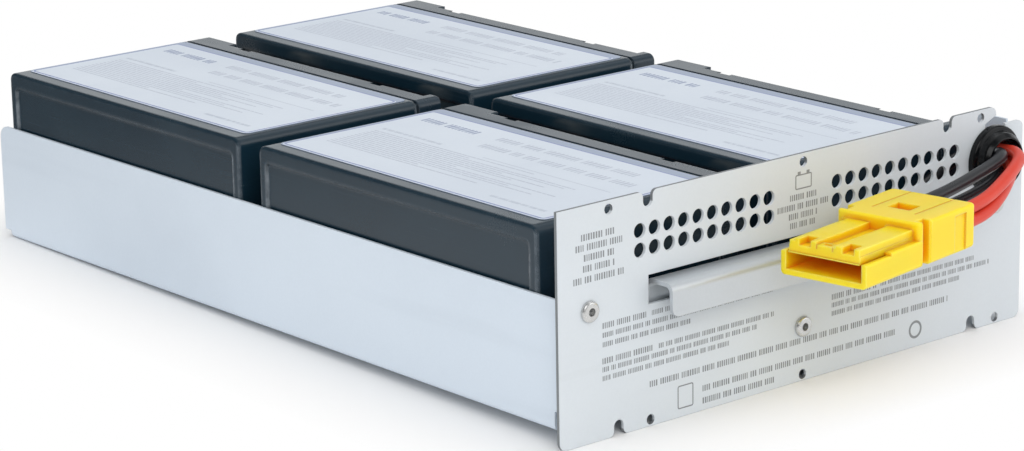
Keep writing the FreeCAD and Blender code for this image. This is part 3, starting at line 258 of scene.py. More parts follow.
class EffectShelf:
    """Holds the node groups of the shared effects, each built once."""

    CLOUD_DETAIL = 5.0
    CLOUD_RANGE = (0.32, 0.68)
    CLOUD_SHARE = 0.7
    CLOUD_MIDDLE = 0.5
    GRAIN_DETAIL = 3.0
    SPECK_RANGE = (0.3, 0.7)
    EDGE_SAMPLES = 6
    EDGE_TURN = (0.997, 0.9)
    LYING_RISE = (0.1, 0.35)
    HIGHLIGHT_WEAR_DETAIL = 4.0
    HIGHLIGHT_WEAR_RANGE = (0.35, 0.65)
    LEAST_HIGHLIGHT_WEAR = 0.35
    SMUDGE_DETAIL = 6.0
    SMUDGE_RANGE = (0.5, 0.78)
    LINE_DETAIL = 3.0
    LINE_FINENESS = 5.0
    LINE_RANGE = (0.58, 0.76)
    LINE_SHARE = 0.6
    RECESS_SAMPLES = 8
    RECESS_RANGES = {"Hollow": (0.88, 0.5), "Deep": (0.34, 0.14)}

    def __init__(self) -> None:
        """Builds the four groups."""
        self.groups = {
            Effect.VARIATION: self._variation(),
            Effect.EDGES: self._edges(),
            Effect.MARKS: self._marks(),
            Effect.CAVITY: self._cavity(),
        }

    @staticmethod
    def _open(effect: Effect, inputs: dict[str, tuple[str, object]],
              outputs: dict[str, str]) -> tuple[Graph, bpy.types.Node, bpy.types.Node]:
        """Starts a group.

        Args:
            effect: The effect that the group makes.
            inputs: Socket kind and first value of each input.
            outputs: Socket kind of each output.

        Returns:
            The graph, its input node and its output node.
        """
        tree = bpy.data.node_groups.new(effect.value, "ShaderNodeTree")
        for name, (kind, value) in inputs.items():
            socket = tree.interface.new_socket(name, in_out="INPUT", socket_type=kind)
            socket.default_value = value
        for name, kind in outputs.items():
            tree.interface.new_socket(name, in_out="OUTPUT", socket_type=kind)
        graph = Graph(tree)
        return graph, graph.node("NodeGroupInput"), graph.node("NodeGroupOutput")

    def _variation(self) -> bpy.types.NodeTree:
        """Cloudy colour and roughness with a fine grain.

        Returns:
            The finished group.
        """
        number, colour = "NodeSocketFloat", "NodeSocketColor"
        graph, given, result = self._open(Effect.VARIATION, {
            "Color": (colour, (0.5, 0.5, 0.5, 1.0)), "Shade": (colour, (0.4, 0.4, 0.4, 1.0)),
            "Amount": (number, 0.5), "Scale": (number, 20.0), "Grain Scale": (number, 900.0),
            "Roughness": (number, 0.5), "Spread": (number, 0.1),
        }, {"Color": colour, "Roughness": number, "Grain": number})
        place = graph.node("ShaderNodeTexCoord").outputs["Object"]
        broad = graph.noise(place, given.outputs["Scale"], self.CLOUD_DETAIL)
        fine = graph.noise(place, given.outputs["Grain Scale"], self.GRAIN_DETAIL)
        cloud = graph.remap(broad, *self.CLOUD_RANGE)
        speck = graph.remap(fine, *self.SPECK_RANGE)
        both = graph.maths("ADD", graph.maths("MULTIPLY", cloud, self.CLOUD_SHARE),
                           graph.maths("MULTIPLY", speck, 1.0 - self.CLOUD_SHARE))
        share = graph.maths("MULTIPLY", both, given.outputs["Amount"])
        mixed = graph.blend(share, given.outputs["Color"], given.outputs["Shade"])
        swing = graph.maths("MULTIPLY", graph.maths("SUBTRACT", both, self.CLOUD_MIDDLE),
                            given.outputs["Spread"])
        rough = graph.maths("ADD", given.outputs["Roughness"], swing)
        for name, socket in (("Color", mixed), ("Roughness", rough), ("Grain", fine)):
            graph.tree.links.new(socket, result.inputs[name])
        return graph.tree

    def _edges(self) -> bpy.types.NodeTree:
        """Softly rounded edges and a broken mask of painted highlight and wear along all of them or only the
        upright ones.

        Returns:
            The finished group.
        """
        number = "NodeSocketFloat"
        graph, given, result = self._open(Effect.EDGES, {
            "Radius": (number, 0.0004), "Patch Scale": (number, 180.0), "Upright": (number, 0.0),
        }, {"Normal": "NodeSocketVector", "Highlight And Wear": number})
        soft = graph.node("ShaderNodeBevel", {"Radius": given.outputs["Radius"]},
                          samples=self.EDGE_SAMPLES)
        flat = graph.node("ShaderNodeNewGeometry").outputs["Normal"]
        turned = graph.vector("DOT_PRODUCT", soft.outputs[0], flat).outputs["Value"]
        rim = graph.remap(turned, *self.EDGE_TURN)
        place = graph.node("ShaderNodeTexCoord").outputs["Object"]
        cloud = graph.noise(place, given.outputs["Patch Scale"], self.HIGHLIGHT_WEAR_DETAIL)
        patch = graph.remap(cloud, *self.HIGHLIGHT_WEAR_RANGE, self.LEAST_HIGHLIGHT_WEAR, 1.0)
        rise = graph.node("ShaderNodeSeparateXYZ", {0: soft.outputs[0]}).outputs["Z"]
        lying = graph.remap(graph.maths("ABSOLUTE", rise, 0.0), *self.LYING_RISE)
        kept = graph.maths("SUBTRACT", 1.0, graph.maths("MULTIPLY", lying, given.outputs["Upright"]))
        # The edge mask marks where the painted highlight and the wear lie.
        lit_and_worn = graph.maths("MULTIPLY", graph.maths("MULTIPLY", rim, patch), kept)
        graph.tree.links.new(lit_and_worn, result.inputs["Highlight And Wear"])
        graph.tree.links.new(soft.outputs[0], result.inputs["Normal"])
        return graph.tree

    def _marks(self) -> bpy.types.NodeTree:
        """Faint smudges and fine drawn lines left by handling.

        Returns:
            The finished group.
        """
        number = "NodeSocketFloat"
        graph, given, result = self._open(Effect.MARKS, {
            "Scale": (number, 14.0), "Stretch": ("NodeSocketVector", (1.0, 1.0, 16.0)),
        }, {"Mask": number})
        place = graph.node("ShaderNodeTexCoord").outputs["Object"]
        cloud = graph.noise(place, given.outputs["Scale"], self.SMUDGE_DETAIL)
        smudge = graph.remap(cloud, *self.SMUDGE_RANGE)
        drawn = graph.vector("MULTIPLY", place, given.outputs["Stretch"]).outputs["Vector"]
        finer = graph.maths("MULTIPLY", given.outputs["Scale"], self.LINE_FINENESS)
        lines = graph.remap(graph.noise(drawn, finer, self.LINE_DETAIL), *self.LINE_RANGE)
        both = graph.maths("MAXIMUM", smudge, graph.maths("MULTIPLY", lines, self.LINE_SHARE))
        graph.tree.links.new(both, result.inputs["Mask"])
        return graph.tree

    def _cavity(self) -> bpy.types.NodeTree:
        """Masks for painted shade in the hollows and the deep recesses that little light reaches.

        Returns:
            The finished group.
        """
        number = "NodeSocketFloat"
        graph, given, result = self._open(Effect.CAVITY, {
            "Hollow Reach": (number, 0.006), "Deep Reach": (number, 0.006),
        }, {"Hollow": number, "Deep": number})
        for name, shares in self.RECESS_RANGES.items():
            recess = graph.node("ShaderNodeAmbientOcclusion", {"Distance": given.outputs[f"{name} Reach"]},
                                samples=self.RECESS_SAMPLES, only_local=True)
            graph.tree.links.new(graph.remap(recess.outputs["AO"], *shares), result.inputs[name])
        return graph.tree


@dataclass(frozen=True)
class Finish:
    """One surface finish and the values it gives to the shared effects.

    Lengths are in metres, colours are linear.

    Attributes:
        name: The material's name.
        colour: Its main colour.
        shade: The colour of its clouds and specks.
        amount: How much of the shade shows.
        scale: How fine the clouds are.
        grain: How fine the grain is.
        grain_height: How high the grain stands.
        grain_strength: How strongly it shows.
        roughness: Middle roughness.
        spread: How far clouds and marks change the roughness.
        metallic: Share of metal.
        specular: Strength of the plain reflection.
        edge: Radius of the softened edges.
        upright: One where only upright edges get the painted highlight and wear, or zero.
        edge_highlight_and_wear: Colour along edges: a painted highlight, with some real wear.
        edge_highlight_and_wear_amount: How much of it shows.
        mark: Colour of handling marks.
        mark_amount: How much of it shows.
        mark_scale: How fine the marks are.
        stretch: How the drawn lines are stretched.
        hollow_shade: Colour of the painted shade in hollows.
        deep_shade: Colour of the painted shade in deep recesses.
        recess_shade_amount: How much of these two painted shades shows.
        hollow_reach: How far off the walls of a hollow may be.
        deep_reach: How far off the walls of a deep recess may be.
        cut: Colour of a sheet's cut border.
        cut_amount: How much of it shows.
        cut_inside: Corners of the box that the border lies outside of.
        translucent: Share of light that goes into the material.
        translucent_reach: How far red, green and blue go, as shares.
        translucent_scale: How far a share of one goes.
    """

    CUT_FADE = 0.5 * MM
    CUT_TURN = (0.7, 0.3)

    name: str
    colour: Colour
    shade: Colour
    amount: float = 0.5
    scale: float = 18.0
    grain: float = 1500.0
    grain_height: float = 0.00003
    grain_strength: float = 0.25
    roughness: float = 0.45
    spread: float = 0.14
    metallic: float = 0.0
    specular: float = 0.5
    edge: float = 0.0004
    upright: float = 0.0
    edge_highlight_and_wear: Colour = (0.7, 0.7, 0.7, 1.0)
    edge_highlight_and_wear_amount: float = 0.2
    mark: Colour = (0.4, 0.4, 0.4, 1.0)
    mark_amount: float = 0.1
    mark_scale: float = 14.0
    stretch: Point = (1.0, 1.0, 16.0)
    hollow_shade: Colour = (0.2, 0.2, 0.2, 1.0)
    deep_shade: Colour = (0.1, 0.1, 0.1, 1.0)
    recess_shade_amount: float = 0.0
    hollow_reach: float = 0.006
    deep_reach: float = 0.006
    cut: Colour = (0.2, 0.2, 0.2, 1.0)
    cut_amount: float = 0.0
    cut_inside: tuple[Point, Point] = ((0.0, 0.0, 0.0), (0.0, 0.0, 0.0))
    translucent: float = 0.0
    translucent_reach: Point = (1.0, 0.9, 0.15)
    translucent_scale: float = 0.005

    def make(self, shelf: EffectShelf) -> bpy.types.Material:
        """Builds the material.

        Args:
            shelf: Where the shared effects are.

        Returns:
            The finished material.
        """
        material = bpy.data.materials.new(self.name)
        graph = Graph.afresh(material)
        varied = graph.node("ShaderNodeGroup", {
            "Color": self.colour, "Shade": self.shade, "Amount": self.amount, "Scale": self.scale,
            "Grain Scale": self.grain, "Roughness": self.roughness, "Spread": self.spread,
        }, node_tree=shelf.groups[Effect.VARIATION])
        edges = graph.node("ShaderNodeGroup", {"Radius": self.edge, "Upright": self.upright},
                           node_tree=shelf.groups[Effect.EDGES])
        marks = graph.node("ShaderNodeGroup", {"Scale": self.mark_scale, "Stretch": self.stretch},
                           node_tree=shelf.groups[Effect.MARKS])
        # Lays the painted highlight and the wear along the edges.
        lit_and_worn = graph.blend(graph.maths("MULTIPLY", edges.outputs["Highlight And Wear"], self.edge_highlight_and_wear_amount),
                           varied.outputs["Color"], self.edge_highlight_and_wear)
        marked = graph.blend(graph.maths("MULTIPLY", marks.outputs["Mask"], self.mark_amount),
                             lit_and_worn, self.mark)
        # Painted shade in hollows and deep recesses.
        if self.recess_shade_amount > 0:
            recess = graph.node("ShaderNodeGroup", {
                "Hollow Reach": self.hollow_reach, "Deep Reach": self.deep_reach,
            }, node_tree=shelf.groups[Effect.CAVITY])
            for name, colour in (("Hollow", self.hollow_shade), ("Deep", self.deep_shade)):
                marked = graph.blend(graph.maths("MULTIPLY", recess.outputs[name], self.recess_shade_amount),
                                     marked, colour)
        if self.cut_amount > 0:
            marked = graph.blend(self._cut_edge(graph), marked, self.cut)
        rough = graph.maths("ADD", varied.outputs["Roughness"],
                            graph.maths("MULTIPLY", marks.outputs["Mask"], self.spread))
        bump = graph.node("ShaderNodeBump", {
            "Strength": self.grain_strength, "Distance": self.grain_height,
            "Height": varied.outputs["Grain"], "Normal": edges.outputs["Normal"]})
        shader = graph.node("ShaderNodeBsdfPrincipled", {
            "Base Color": marked, "Roughness": rough, "Normal": bump.outputs[0],
            "Metallic": self.metallic, "Specular IOR Level": self.specular,
            "Subsurface Weight": self.translucent, "Subsurface Radius": self.translucent_reach,
            "Subsurface Scale": self.translucent_scale})
        graph.node("ShaderNodeOutputMaterial", {"Surface": shader.outputs[0]})
        return material

    def _cut_edge(self, graph: Graph) -> bpy.types.NodeSocket:
        """Mask of an upright sheet's cut border, outside a box that keeps its holes clear.

        Args:
            graph: The material's graph.

        Returns:
            The mask's socket.
        """
        low, high = (Vector(corner) for corner in self.cut_inside)
        place = graph.node("ShaderNodeTexCoord").outputs["Object"]
        off = graph.vector("SUBTRACT", place, tuple((low + high) / 2)).outputs["Vector"]
        away = graph.vector("ABSOLUTE", off).outputs["Vector"]
        past = graph.vector("SUBTRACT", away, tuple((high - low) / 2)).outputs["Vector"]
        sides = graph.node("ShaderNodeSeparateXYZ", {0: past})
        furthest = graph.maths("MAXIMUM", sides.outputs["X"], sides.outputs["Z"])
        border = graph.remap(furthest, 0.0, self.CUT_FADE)
        facing = graph.node("ShaderNodeSeparateXYZ", {
            0: graph.node("ShaderNodeNewGeometry").outputs["Normal"]}).outputs["Y"]
        cut = graph.remap(graph.maths("ABSOLUTE", facing, 0.0), *self.CUT_TURN, 0.0, self.cut_amount)
        return graph.maths("MULTIPLY", border, cut)


class FinishShop:
    """Makes each finish's material once and dresses nodes and pieces with it."""

    def __init__(self) -> None:
        """Starts with the shared effects and no material."""
        self.shelf = EffectShelf()
        self.made: dict[str, bpy.types.Material] = {}

    def material(self, finish: Finish) -> bpy.types.Material:
        """Finds the material of a finish, or makes it at its first use.

        Args:
            finish: The finish.

        Returns:
            Its material.
        """
        if finish.name not in self.made:
            self.made[finish.name] = finish.make(self.shelf)
        return self.made[finish.name]

    def dress(self, node: str, finish: Finish) -> None:
        """Gives a CAD node its finish.

        Args:
            node: The node's name.
            finish: The finish it gets.
        """
        piece = frame["nodes"][node]
        piece.data.materials.clear()
        piece.data.materials.append(self.material(finish))
        log.info("%s: %s", node, finish.name)


# The pale edge colours of these finishes are painted highlights along edges and bends, with some real wear.
TRAY_STEEL = Finish(
    "tray_steel", tone(221, 232, 243), tone(212, 223, 235), amount=0.6, scale=9.0, grain=1100.0,
    roughness=0.45, metallic=0.15, specular=0.4, edge_highlight_and_wear=tone(232, 237, 243), edge_highlight_and_wear_amount=0.6,
    mark=tone(190, 201, 212), mark_amount=0.25, mark_scale=8.0, stretch=(1.0, 0.12, 2.0))
PANEL_STEEL = Finish(
    "panel_steel", tone(213, 219, 224), tone(204, 210, 215), amount=0.6, scale=14.0, grain=1300.0,
    roughness=0.45, metallic=0.1, specular=0.3, edge_highlight_and_wear=tone(234, 237, 240), edge_highlight_and_wear_amount=0.4,
    mark=tone(198, 203, 206), mark_amount=0.25, mark_scale=12.0, stretch=(0.15, 1.0, 3.0),
    cut=tone(104, 108, 111), cut_amount=0.85,
    cut_inside=((-0.1085, -1.0, -0.003), (0.1085, 1.0, 0.0715)))
HANDLE_STEEL = Finish(
    "handle_steel", tone(202, 207, 211), tone(188, 193, 197), amount=0.6, scale=16.0, grain=1300.0,
    roughness=0.34, metallic=0.5, edge_highlight_and_wear=tone(240, 241, 243), edge_highlight_and_wear_amount=0.6,
    mark=tone(186, 190, 193), mark_amount=0.3, stretch=(0.15, 3.0, 3.0))
# The rivet's and the bushing's recess colours are painted shade in their hollows; their pale edges are
# painted highlight.
RIVET_ALUMINIUM = Finish(
    "rivet_aluminium", tone(214, 214, 212), tone(180, 181, 182), scale=260.0, grain=2600.0,
    roughness=0.28, metallic=0.9, edge_highlight_and_wear=tone(240, 240, 238), edge_highlight_and_wear_amount=0.5, edge=0.0002,
    mark=tone(130, 130, 132), mark_amount=0.35, mark_scale=120.0, hollow_shade=tone(150, 151, 152),
    deep_shade=tone(50, 51, 53), recess_shade_amount=0.8, hollow_reach=0.0015, deep_reach=0.0015)
BUSHING_NYLON = Finish(
    "bushing_nylon", tone(11, 12, 14), tone(18, 20, 22), scale=90.0, grain=1900.0, roughness=0.18,
    specular=0.24, edge_highlight_and_wear=tone(74, 76, 79), edge_highlight_and_wear_amount=0.25, mark=tone(48, 50, 53), mark_amount=0.1,
    mark_scale=60.0, hollow_shade=tone(9, 10, 11), deep_shade=tone(4, 4, 5), recess_shade_amount=0.6,
    hollow_reach=0.004, deep_reach=0.004)
# The pale colour along the blocks' and lids' upright edges is a painted highlight on their corners.
BLOCK_PLASTIC = Finish(
    "block_plastic", tone(18, 40, 53), tone(26, 49, 62), amount=0.7, scale=26.0, grain=1700.0,
    roughness=0.2, spread=0.1, specular=0.45, edge=0.002, upright=1.0,
    edge_highlight_and_wear=tone(172, 181, 190), edge_highlight_and_wear_amount=0.7, mark=tone(60, 80, 92), mark_amount=0.16,
    mark_scale=22.0, stretch=(1.0, 0.2, 6.0))
LID_PLASTIC = Finish(
    "lid_plastic", tone(25, 43, 56), tone(34, 52, 65), amount=0.7, scale=30.0, grain=1500.0,
    grain_height=0.00004, roughness=0.26, spread=0.1, specular=0.45, edge=0.001, upright=1.0,
    edge_highlight_and_wear=tone(140, 150, 159), edge_highlight_and_wear_amount=0.4, mark=tone(66, 82, 94), mark_amount=0.14,
    mark_scale=26.0, stretch=(1.0, 0.2, 6.0))
LABEL_FILM = Finish(
    "label_film", tone(146, 159, 182), tone(158, 170, 191), amount=0.6, scale=24.0, grain=700.0,
    roughness=0.34, spread=0.1, specular=0.35, edge=0.0001, edge_highlight_and_wear=tone(200, 208, 222), edge_highlight_and_wear_amount=0.3,
    mark=tone(170, 181, 200), mark_amount=0.2, mark_scale=9.0)
LABEL_EDGE = replace(
    LABEL_FILM, name="label_edge", colour=tone(219, 228, 243), shade=tone(211, 221, 237), amount=0.5,
    edge_highlight_and_wear=tone(230, 235, 244), mark=tone(206, 214, 226))
LABEL_FIELD = replace(
    LABEL_EDGE, name="label_field", colour=tone(208, 217, 228), shade=tone(201, 210, 222), scale=16.0,
    edge_highlight_and_wear=tone(226, 231, 238), mark=tone(200, 208, 219))
LINE_INK = Finish(
    "line_ink", tone(122, 136, 180), tone(134, 147, 188), scale=60.0, grain=1200.0, roughness=0.36,
    specular=0.35, edge=0.00005, edge_highlight_and_wear=tone(170, 180, 208), mark=tone(150, 160, 196), mark_scale=30.0)
DEEP_INK = replace(
    LINE_INK, name="deep_ink", colour=tone(128, 142, 174), shade=tone(140, 153, 182),
    edge_highlight_and_wear=tone(168, 178, 200), mark=tone(156, 167, 192))
PALE_INK = replace(
    LINE_INK, name="pale_ink", colour=tone(180, 188, 203), shade=tone(190, 198, 211),
    edge_highlight_and_wear=tone(202, 209, 220), mark=tone(196, 203, 215))
PANEL_INK = Finish(
    "panel_ink", tone(132, 136, 139), tone(146, 149, 152), scale=70.0, grain=1500.0, roughness=0.45,
    specular=0.3, edge=0.00005, edge_highlight_and_wear=tone(176, 178, 180), mark=tone(164, 166, 169), mark_scale=30.0)
# The connector's pale edges are a painted highlight, its hollow colour is painted shade in the grips and
# pockets, and its deep orange is painted light bounced deep in the mouth.
CONNECTOR_PLASTIC = Finish(
    "connector_plastic", tone(250, 217, 24), tone(247, 210, 18), amount=0.6, scale=42.0, grain=1500.0,
    roughness=0.34, spread=0.12, edge=0.0009, edge_highlight_and_wear=tone(255, 240, 140),
    edge_highlight_and_wear_amount=0.6, mark=tone(242, 203, 20), mark_amount=0.2, mark_scale=36.0,
    hollow_shade=tone(234, 178, 4), deep_shade=tone(255, 146, 10), recess_shade_amount=1.0, hollow_reach=0.005,
    deep_reach=0.016, translucent=0.7)
CABLE_BLACK = Finish(
    "cable_black", tone(26, 27, 31), tone(36, 37, 42), scale=120.0, grain=2200.0, roughness=0.29,
    edge=0.0001, edge_highlight_and_wear=tone(70, 70, 73), mark=tone(76, 77, 81), mark_amount=0.14, mark_scale=70.0)
CABLE_RED = Finish(
    "cable_red", tone(216, 62, 40), tone(203, 49, 31), amount=0.6, scale=120.0, grain=2200.0,
    roughness=0.4, edge=0.0001, edge_highlight_and_wear=tone(234, 104, 90), mark=tone(232, 98, 82), mark_amount=0.16,
    mark_scale=70.0)
TINNED_BRASS = Finish(
    "tinned_brass", tone(206, 202, 190), tone(184, 178, 164), scale=200.0, grain=2400.0,
    roughness=0.3, metallic=0.9, edge=0.0002, mark=tone(150, 144, 130), mark_amount=0.3,
    mark_scale=140.0)
CONTACT_SILVER = Finish(
    "contact_silver", tone(212, 211, 206), tone(188, 187, 182), scale=150.0, grain=2400.0,
    roughness=0.26, metallic=0.95, edge=0.0002, mark=tone(150, 149, 146), mark_amount=0.3,
    mark_scale=90.0)
NATURAL_NYLON = Finish(
    "natural_nylon", tone(222, 220, 210), tone(208, 206, 195), scale=90.0, grain=1600.0,
    roughness=0.42, edge_highlight_and_wear=tone(238, 236, 228), mark=tone(196, 193, 182), mark_amount=0.2,
    mark_scale=70.0)
DARK_FOAM = Finish(
    "dark_foam", tone(52, 52, 54), tone(70, 70, 72), amount=0.8, scale=400.0, grain=900.0,
    grain_height=0.0002, grain_strength=0.7, roughness=0.85, edge_highlight_and_wear=tone(84, 84, 86),
    mark=tone(90, 90, 92), mark_scale=60.0)


@dataclass(frozen=True)
class PrintPlane:
    """A flat face that print lies on, with the reading direction across it."""

    origin: Vector
    across: Vector
    up: Vector

    def place(self, across: float, up: float, lift: float) -> Vector:
        """The point at two distances on the plane and one off it."""
        return self.origin + self.across * across + self.up * up + self.across.cross(self.up) * lift


class LabelInk(IntEnum):
    """Material slots of a label's print."""

    EDGE = 0
    FIELD = 1
    LINE = 2
    DEEP = 3
    PALE = 4


LABEL_INKS = {
    LabelInk.EDGE: LABEL_EDGE, LabelInk.FIELD: LABEL_FIELD, LabelInk.LINE: LINE_INK,
    LabelInk.DEEP: DEEP_INK, LabelInk.PALE: PALE_INK,
}


@dataclass(frozen=True)
class PrintRow:
    """One row of plain marks that stands for print.

    Attributes:
        left: Where the row starts, in millimetres.
        right: Where it ends.
        middle: Middle height of the row.
        height: Height of its marks.
        ink: Number of its material slot.
    """

    left: float
    right: float
    middle: float
    height: float
    ink: int = 0

    def mark(self, start: float, end: float) -> Box:
        """Borders of one of the row's marks, in metres."""
        return in_metres((start, self.middle - self.height / 2, end, self.middle + self.height / 2))


class PrintMesh:
    """Collects thin plates and rings of print on one plane into one mesh."""

    CORNER_STEPS = 6
    DASH_LENGTHS = (2.5, 9.0)
    DASH_GAP = 0.8
    BAR_WIDTHS = (0.16, 0.32)
    BAR_GAP = 0.22
    WORD_GAP = 0.45
    WORD_BARS = (3, 9)

    def __init__(self, plane: PrintPlane, thickness: float) -> None:
        """Starts an empty print.

        Args:
            plane: Where the print lies.
            thickness: How far a plate stands off its lower face.
        """
        self.plane = plane
        self.thickness = thickness
        self.mesh = bmesh.new()

    def _loop(self, box: Box, corner: float, lift: float) -> list[bmesh.types.BMVert]:
        """Points round a rectangle with rounded corners.

        Args:
            box: Left, lower, right and upper border.
            corner: Radius of the corners, or zero for sharp ones.
            lift: Height above the plane.

        Returns:
            The new vertices in order.
        """
        left, low, right, high = box
        points = []
        steps = self.CORNER_STEPS if corner > 0 else 0
        centres = ((right - corner, high - corner), (left + corner, high - corner),
                   (left + corner, low + corner), (right - corner, low + corner))
        for quarter, (across, up) in enumerate(centres):
            for step in range(steps + 1):
                angle = (quarter + step / max(steps, 1)) * math.pi / 2
                points.append(self.plane.place(across + corner * math.cos(angle),
                                               up + corner * math.sin(angle), lift))
        return [self.mesh.verts.new(point) for point in points]

    def _walls(self, under: list[bmesh.types.BMVert], over: list[bmesh.types.BMVert],
               finish: int) -> None:
        """Joins two loops of the same length by a band of faces.

        Args:
            under: The loop that the band starts from.
            over: The loop that it ends at.
            finish: Number of the material slot.
        """
        for number in range(len(under)):
            after = (number + 1) % len(under)
            face = self.mesh.faces.new((under[number], under[after], over[after], over[number]))
            face.material_index = finish

    def plate(self, box: Box, corner: float, lift: float, finish: int = 0) -> None:
        """Adds a closed flat plate with rounded corners.

        Args:
            box: Left, lower, right and upper border.
            corner: Radius of the corners.
            lift: Height of its lower face above the plane.
            finish: Number of the material slot.
        """
        under = self._loop(box, corner, lift)
        over = self._loop(box, corner, lift + self.thickness)
        self.mesh.faces.new(over).material_index = finish
        self.mesh.faces.new(under[::-1]).material_index = finish
        self._walls(under, over, finish)

    def ring(self, box: Box, corner: float, width: float, lift: float, finish: int = 0) -> None:
        """Adds a closed line along the border of a rounded rectangle.

        Args:
            box: Left, lower, right and upper border.
            corner: Outer radius of the corners.
            width: Width of the line.
            lift: Height of its lower face above the plane.
            finish: Number of the material slot.
        """
        loops = []
        for inset, height in ((0.0, lift), (0.0, lift + self.thickness),
                              (width, lift + self.thickness), (width, lift)):
            loops.append(self._loop(shrunk(box, inset), corner - inset, height))
        for number, loop in enumerate(loops):
            self._walls(loop, loops[(number + 1) % len(loops)], finish)

    def dashes(self, row: PrintRow, lift: float, seed: int) -> None:
        """Adds a broken line of short plain plates.

        Args:
            row: Borders, height and ink of the line.
            lift: Height of the plates' lower face above the plane.
            seed: Sets the lengths of the plates.
        """
        draw = random.Random(seed)
        start = row.left
        while start < row.right - row.height:
            end = min(row.right, start + row.height * draw.uniform(*self.DASH_LENGTHS))
            self.plate(row.mark(start, end), 0.0, lift, row.ink)
            start = end + row.height * self.DASH_GAP

    def words(self, row: PrintRow, lift: float, seed: int) -> None:
        """Adds groups of plain upright bars.

        Args:
            row: Borders, height and ink of the row.
            lift: Height of the bars' lower face above the plane.
            seed: Sets the widths and the groups of the bars.
        """
        draw = random.Random(seed)
        start = row.left
        waiting = draw.randint(*self.WORD_BARS)
        while start < row.right - row.height * self.BAR_WIDTHS[0]:
            end = min(row.right, start + row.height * draw.uniform(*self.BAR_WIDTHS))
            self.plate(row.mark(start, end), 0.0, lift, row.ink)
            start = end + row.height * self.BAR_GAP
            waiting -= 1
            if waiting == 0:
                start += row.height * self.WORD_GAP
                waiting = draw.randint(*self.WORD_BARS)

    def finish(self, name: str, materials: list[bpy.types.Material], slot: str) -> bpy.types.Object:
        """Writes the collected print as one piece on the object.

        Args:
            name: The piece's name.
            materials: Materials in the order of the slot numbers.
            slot: The record's material slot. It is not used.

        Returns:
            The new piece.
        """
        bmesh.ops.recalc_face_normals(self.mesh, faces=self.mesh.faces)
        data = new_mesh(name, self.mesh)
        for material in materials:
            data.materials.append(material)
        piece = add_object(name, data)
        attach(piece, "root")
        log.info("%s: %d faces", name, len(data.polygons))
        return piece


@dataclass
class SheetMetal:
    """Tray, front panel, pull handle and rivets."""

    shop: FinishShop
    finishes: dict[str, Finish] = field(default_factory=lambda: {
        "tray": TRAY_STEEL, "front_panel": PANEL_STEEL, "pull_handle": HANDLE_STEEL,
        "panel_rivets": RIVET_ALUMINIUM})

    def dress(self) -> None:
        """Gives each folded or riveted piece its finish."""
        for node, finish in self.finishes.items():
            self.shop.dress(node, finish)


@dataclass
class PanelPrint:
    """Generic print on the front panel: plain outlines and rows of small bars.

    Boxes are left, low, right and high, in millimetres as the rows are.
    """

    shop: FinishShop
    thickness: float = 0.02 * MM
    lift: float = 0.01 * MM
    outline: float = 0.45 * MM
    battery: Box = (-3.8, 63.2, 4.0, 68.4)
    battery_corner: float = 0.6 * MM
    pole_insets: tuple[float, float] = (1.1 * MM, 2.5 * MM)
    pole_width: float = 1.4 * MM
    pole_height: float = 1.0 * MM
    border: Box = (-58.5, -2.2, -51.3, 6.0)
    border_corner: float = 0.8 * MM
    circle: Box = (52.8, -1.9, 59.4, 4.7)
    circle_radius: float = 3.3 * MM
    circle_line: float = 0.9 * MM
    rows: tuple[PrintRow, ...] = (
        PrintRow(-100.3, -85.1, 65.1, 2.2), PrintRow(-102.7, -82.6, 61.7, 2.2),
        PrintRow(-99.2, -86.3, 58.2, 2.2), PrintRow(-99.6, -85.8, 54.6, 2.2),
        PrintRow(-103.8, -81.6, 50.9, 2.2),
        PrintRow(-6.3, 6.6, 60.7, 2.1), PrintRow(-12.2, 12.1, 57.4, 2.1),
        PrintRow(-6.8, 6.7, 54.2, 2.1), PrintRow(-6.2, 6.1, 51.0, 2.1),
        PrintRow(-91.5, -72.0, 33.9, 2.0), PrintRow(-69.8, -14.0, 33.9, 1.7),
        PrintRow(-91.5, -14.0, 30.7, 1.7), PrintRow(-91.5, -52.3, 27.5, 1.7),
        PrintRow(-91.7, -69.0, 21.9, 2.0), PrintRow(-66.8, -13.4, 21.9, 1.7),
        PrintRow(-91.7, -21.3, 19.0, 1.7), PrintRow(-91.7, -34.5, 16.0, 1.7),
        PrintRow(14.1, 36.0, 21.9, 2.0), PrintRow(38.2, 85.9, 21.9, 1.7),
        PrintRow(14.1, 93.9, 19.0, 1.7), PrintRow(14.1, 79.0, 16.0, 1.7),
        PrintRow(-71.0, 72.6, 9.5, 2.1), PrintRow(-47.1, 46.5, 2.7, 2.1),
        PrintRow(-47.1, -13.3, -1.6, 2.1),
    )

    def build(self) -> bpy.types.Object:
        """Lays the print on the panel's front face.

        Returns:
            The finished piece.
        """
        low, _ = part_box("front_panel")
        plane = PrintPlane(Vector((0.0, low.y, 0.0)), Vector((1.0, 0.0, 0.0)), Vector((0.0, 0.0, 1.0)))
        print_mesh = PrintMesh(plane, self.thickness)
        for number, row in enumerate(self.rows):
            print_mesh.words(row, self.lift, seed=number)
        self._outlines(print_mesh)
        return print_mesh.finish("panel_print", [self.shop.material(PANEL_INK)], "panel_steel")

    def _outlines(self, print_mesh: PrintMesh) -> None:
        """Draws a battery's plain outline, a plain frame and a plain ring.

        Args:
            print_mesh: The print that they are added to.
        """
        for box, corner, width in ((self.battery, self.battery_corner, self.outline),
                                   (self.border, self.border_corner, self.outline),
                                   (self.circle, self.circle_radius, self.circle_line)):
            print_mesh.ring(in_metres(box), corner, width, self.lift)
        left, _, right, high = in_metres(self.battery)
        for pole in (left + self.pole_insets[0], right - self.pole_insets[1]):
            cap = (pole, high, pole + self.pole_width, high + self.pole_height)
            print_mesh.plate(cap, 0.0, self.lift)


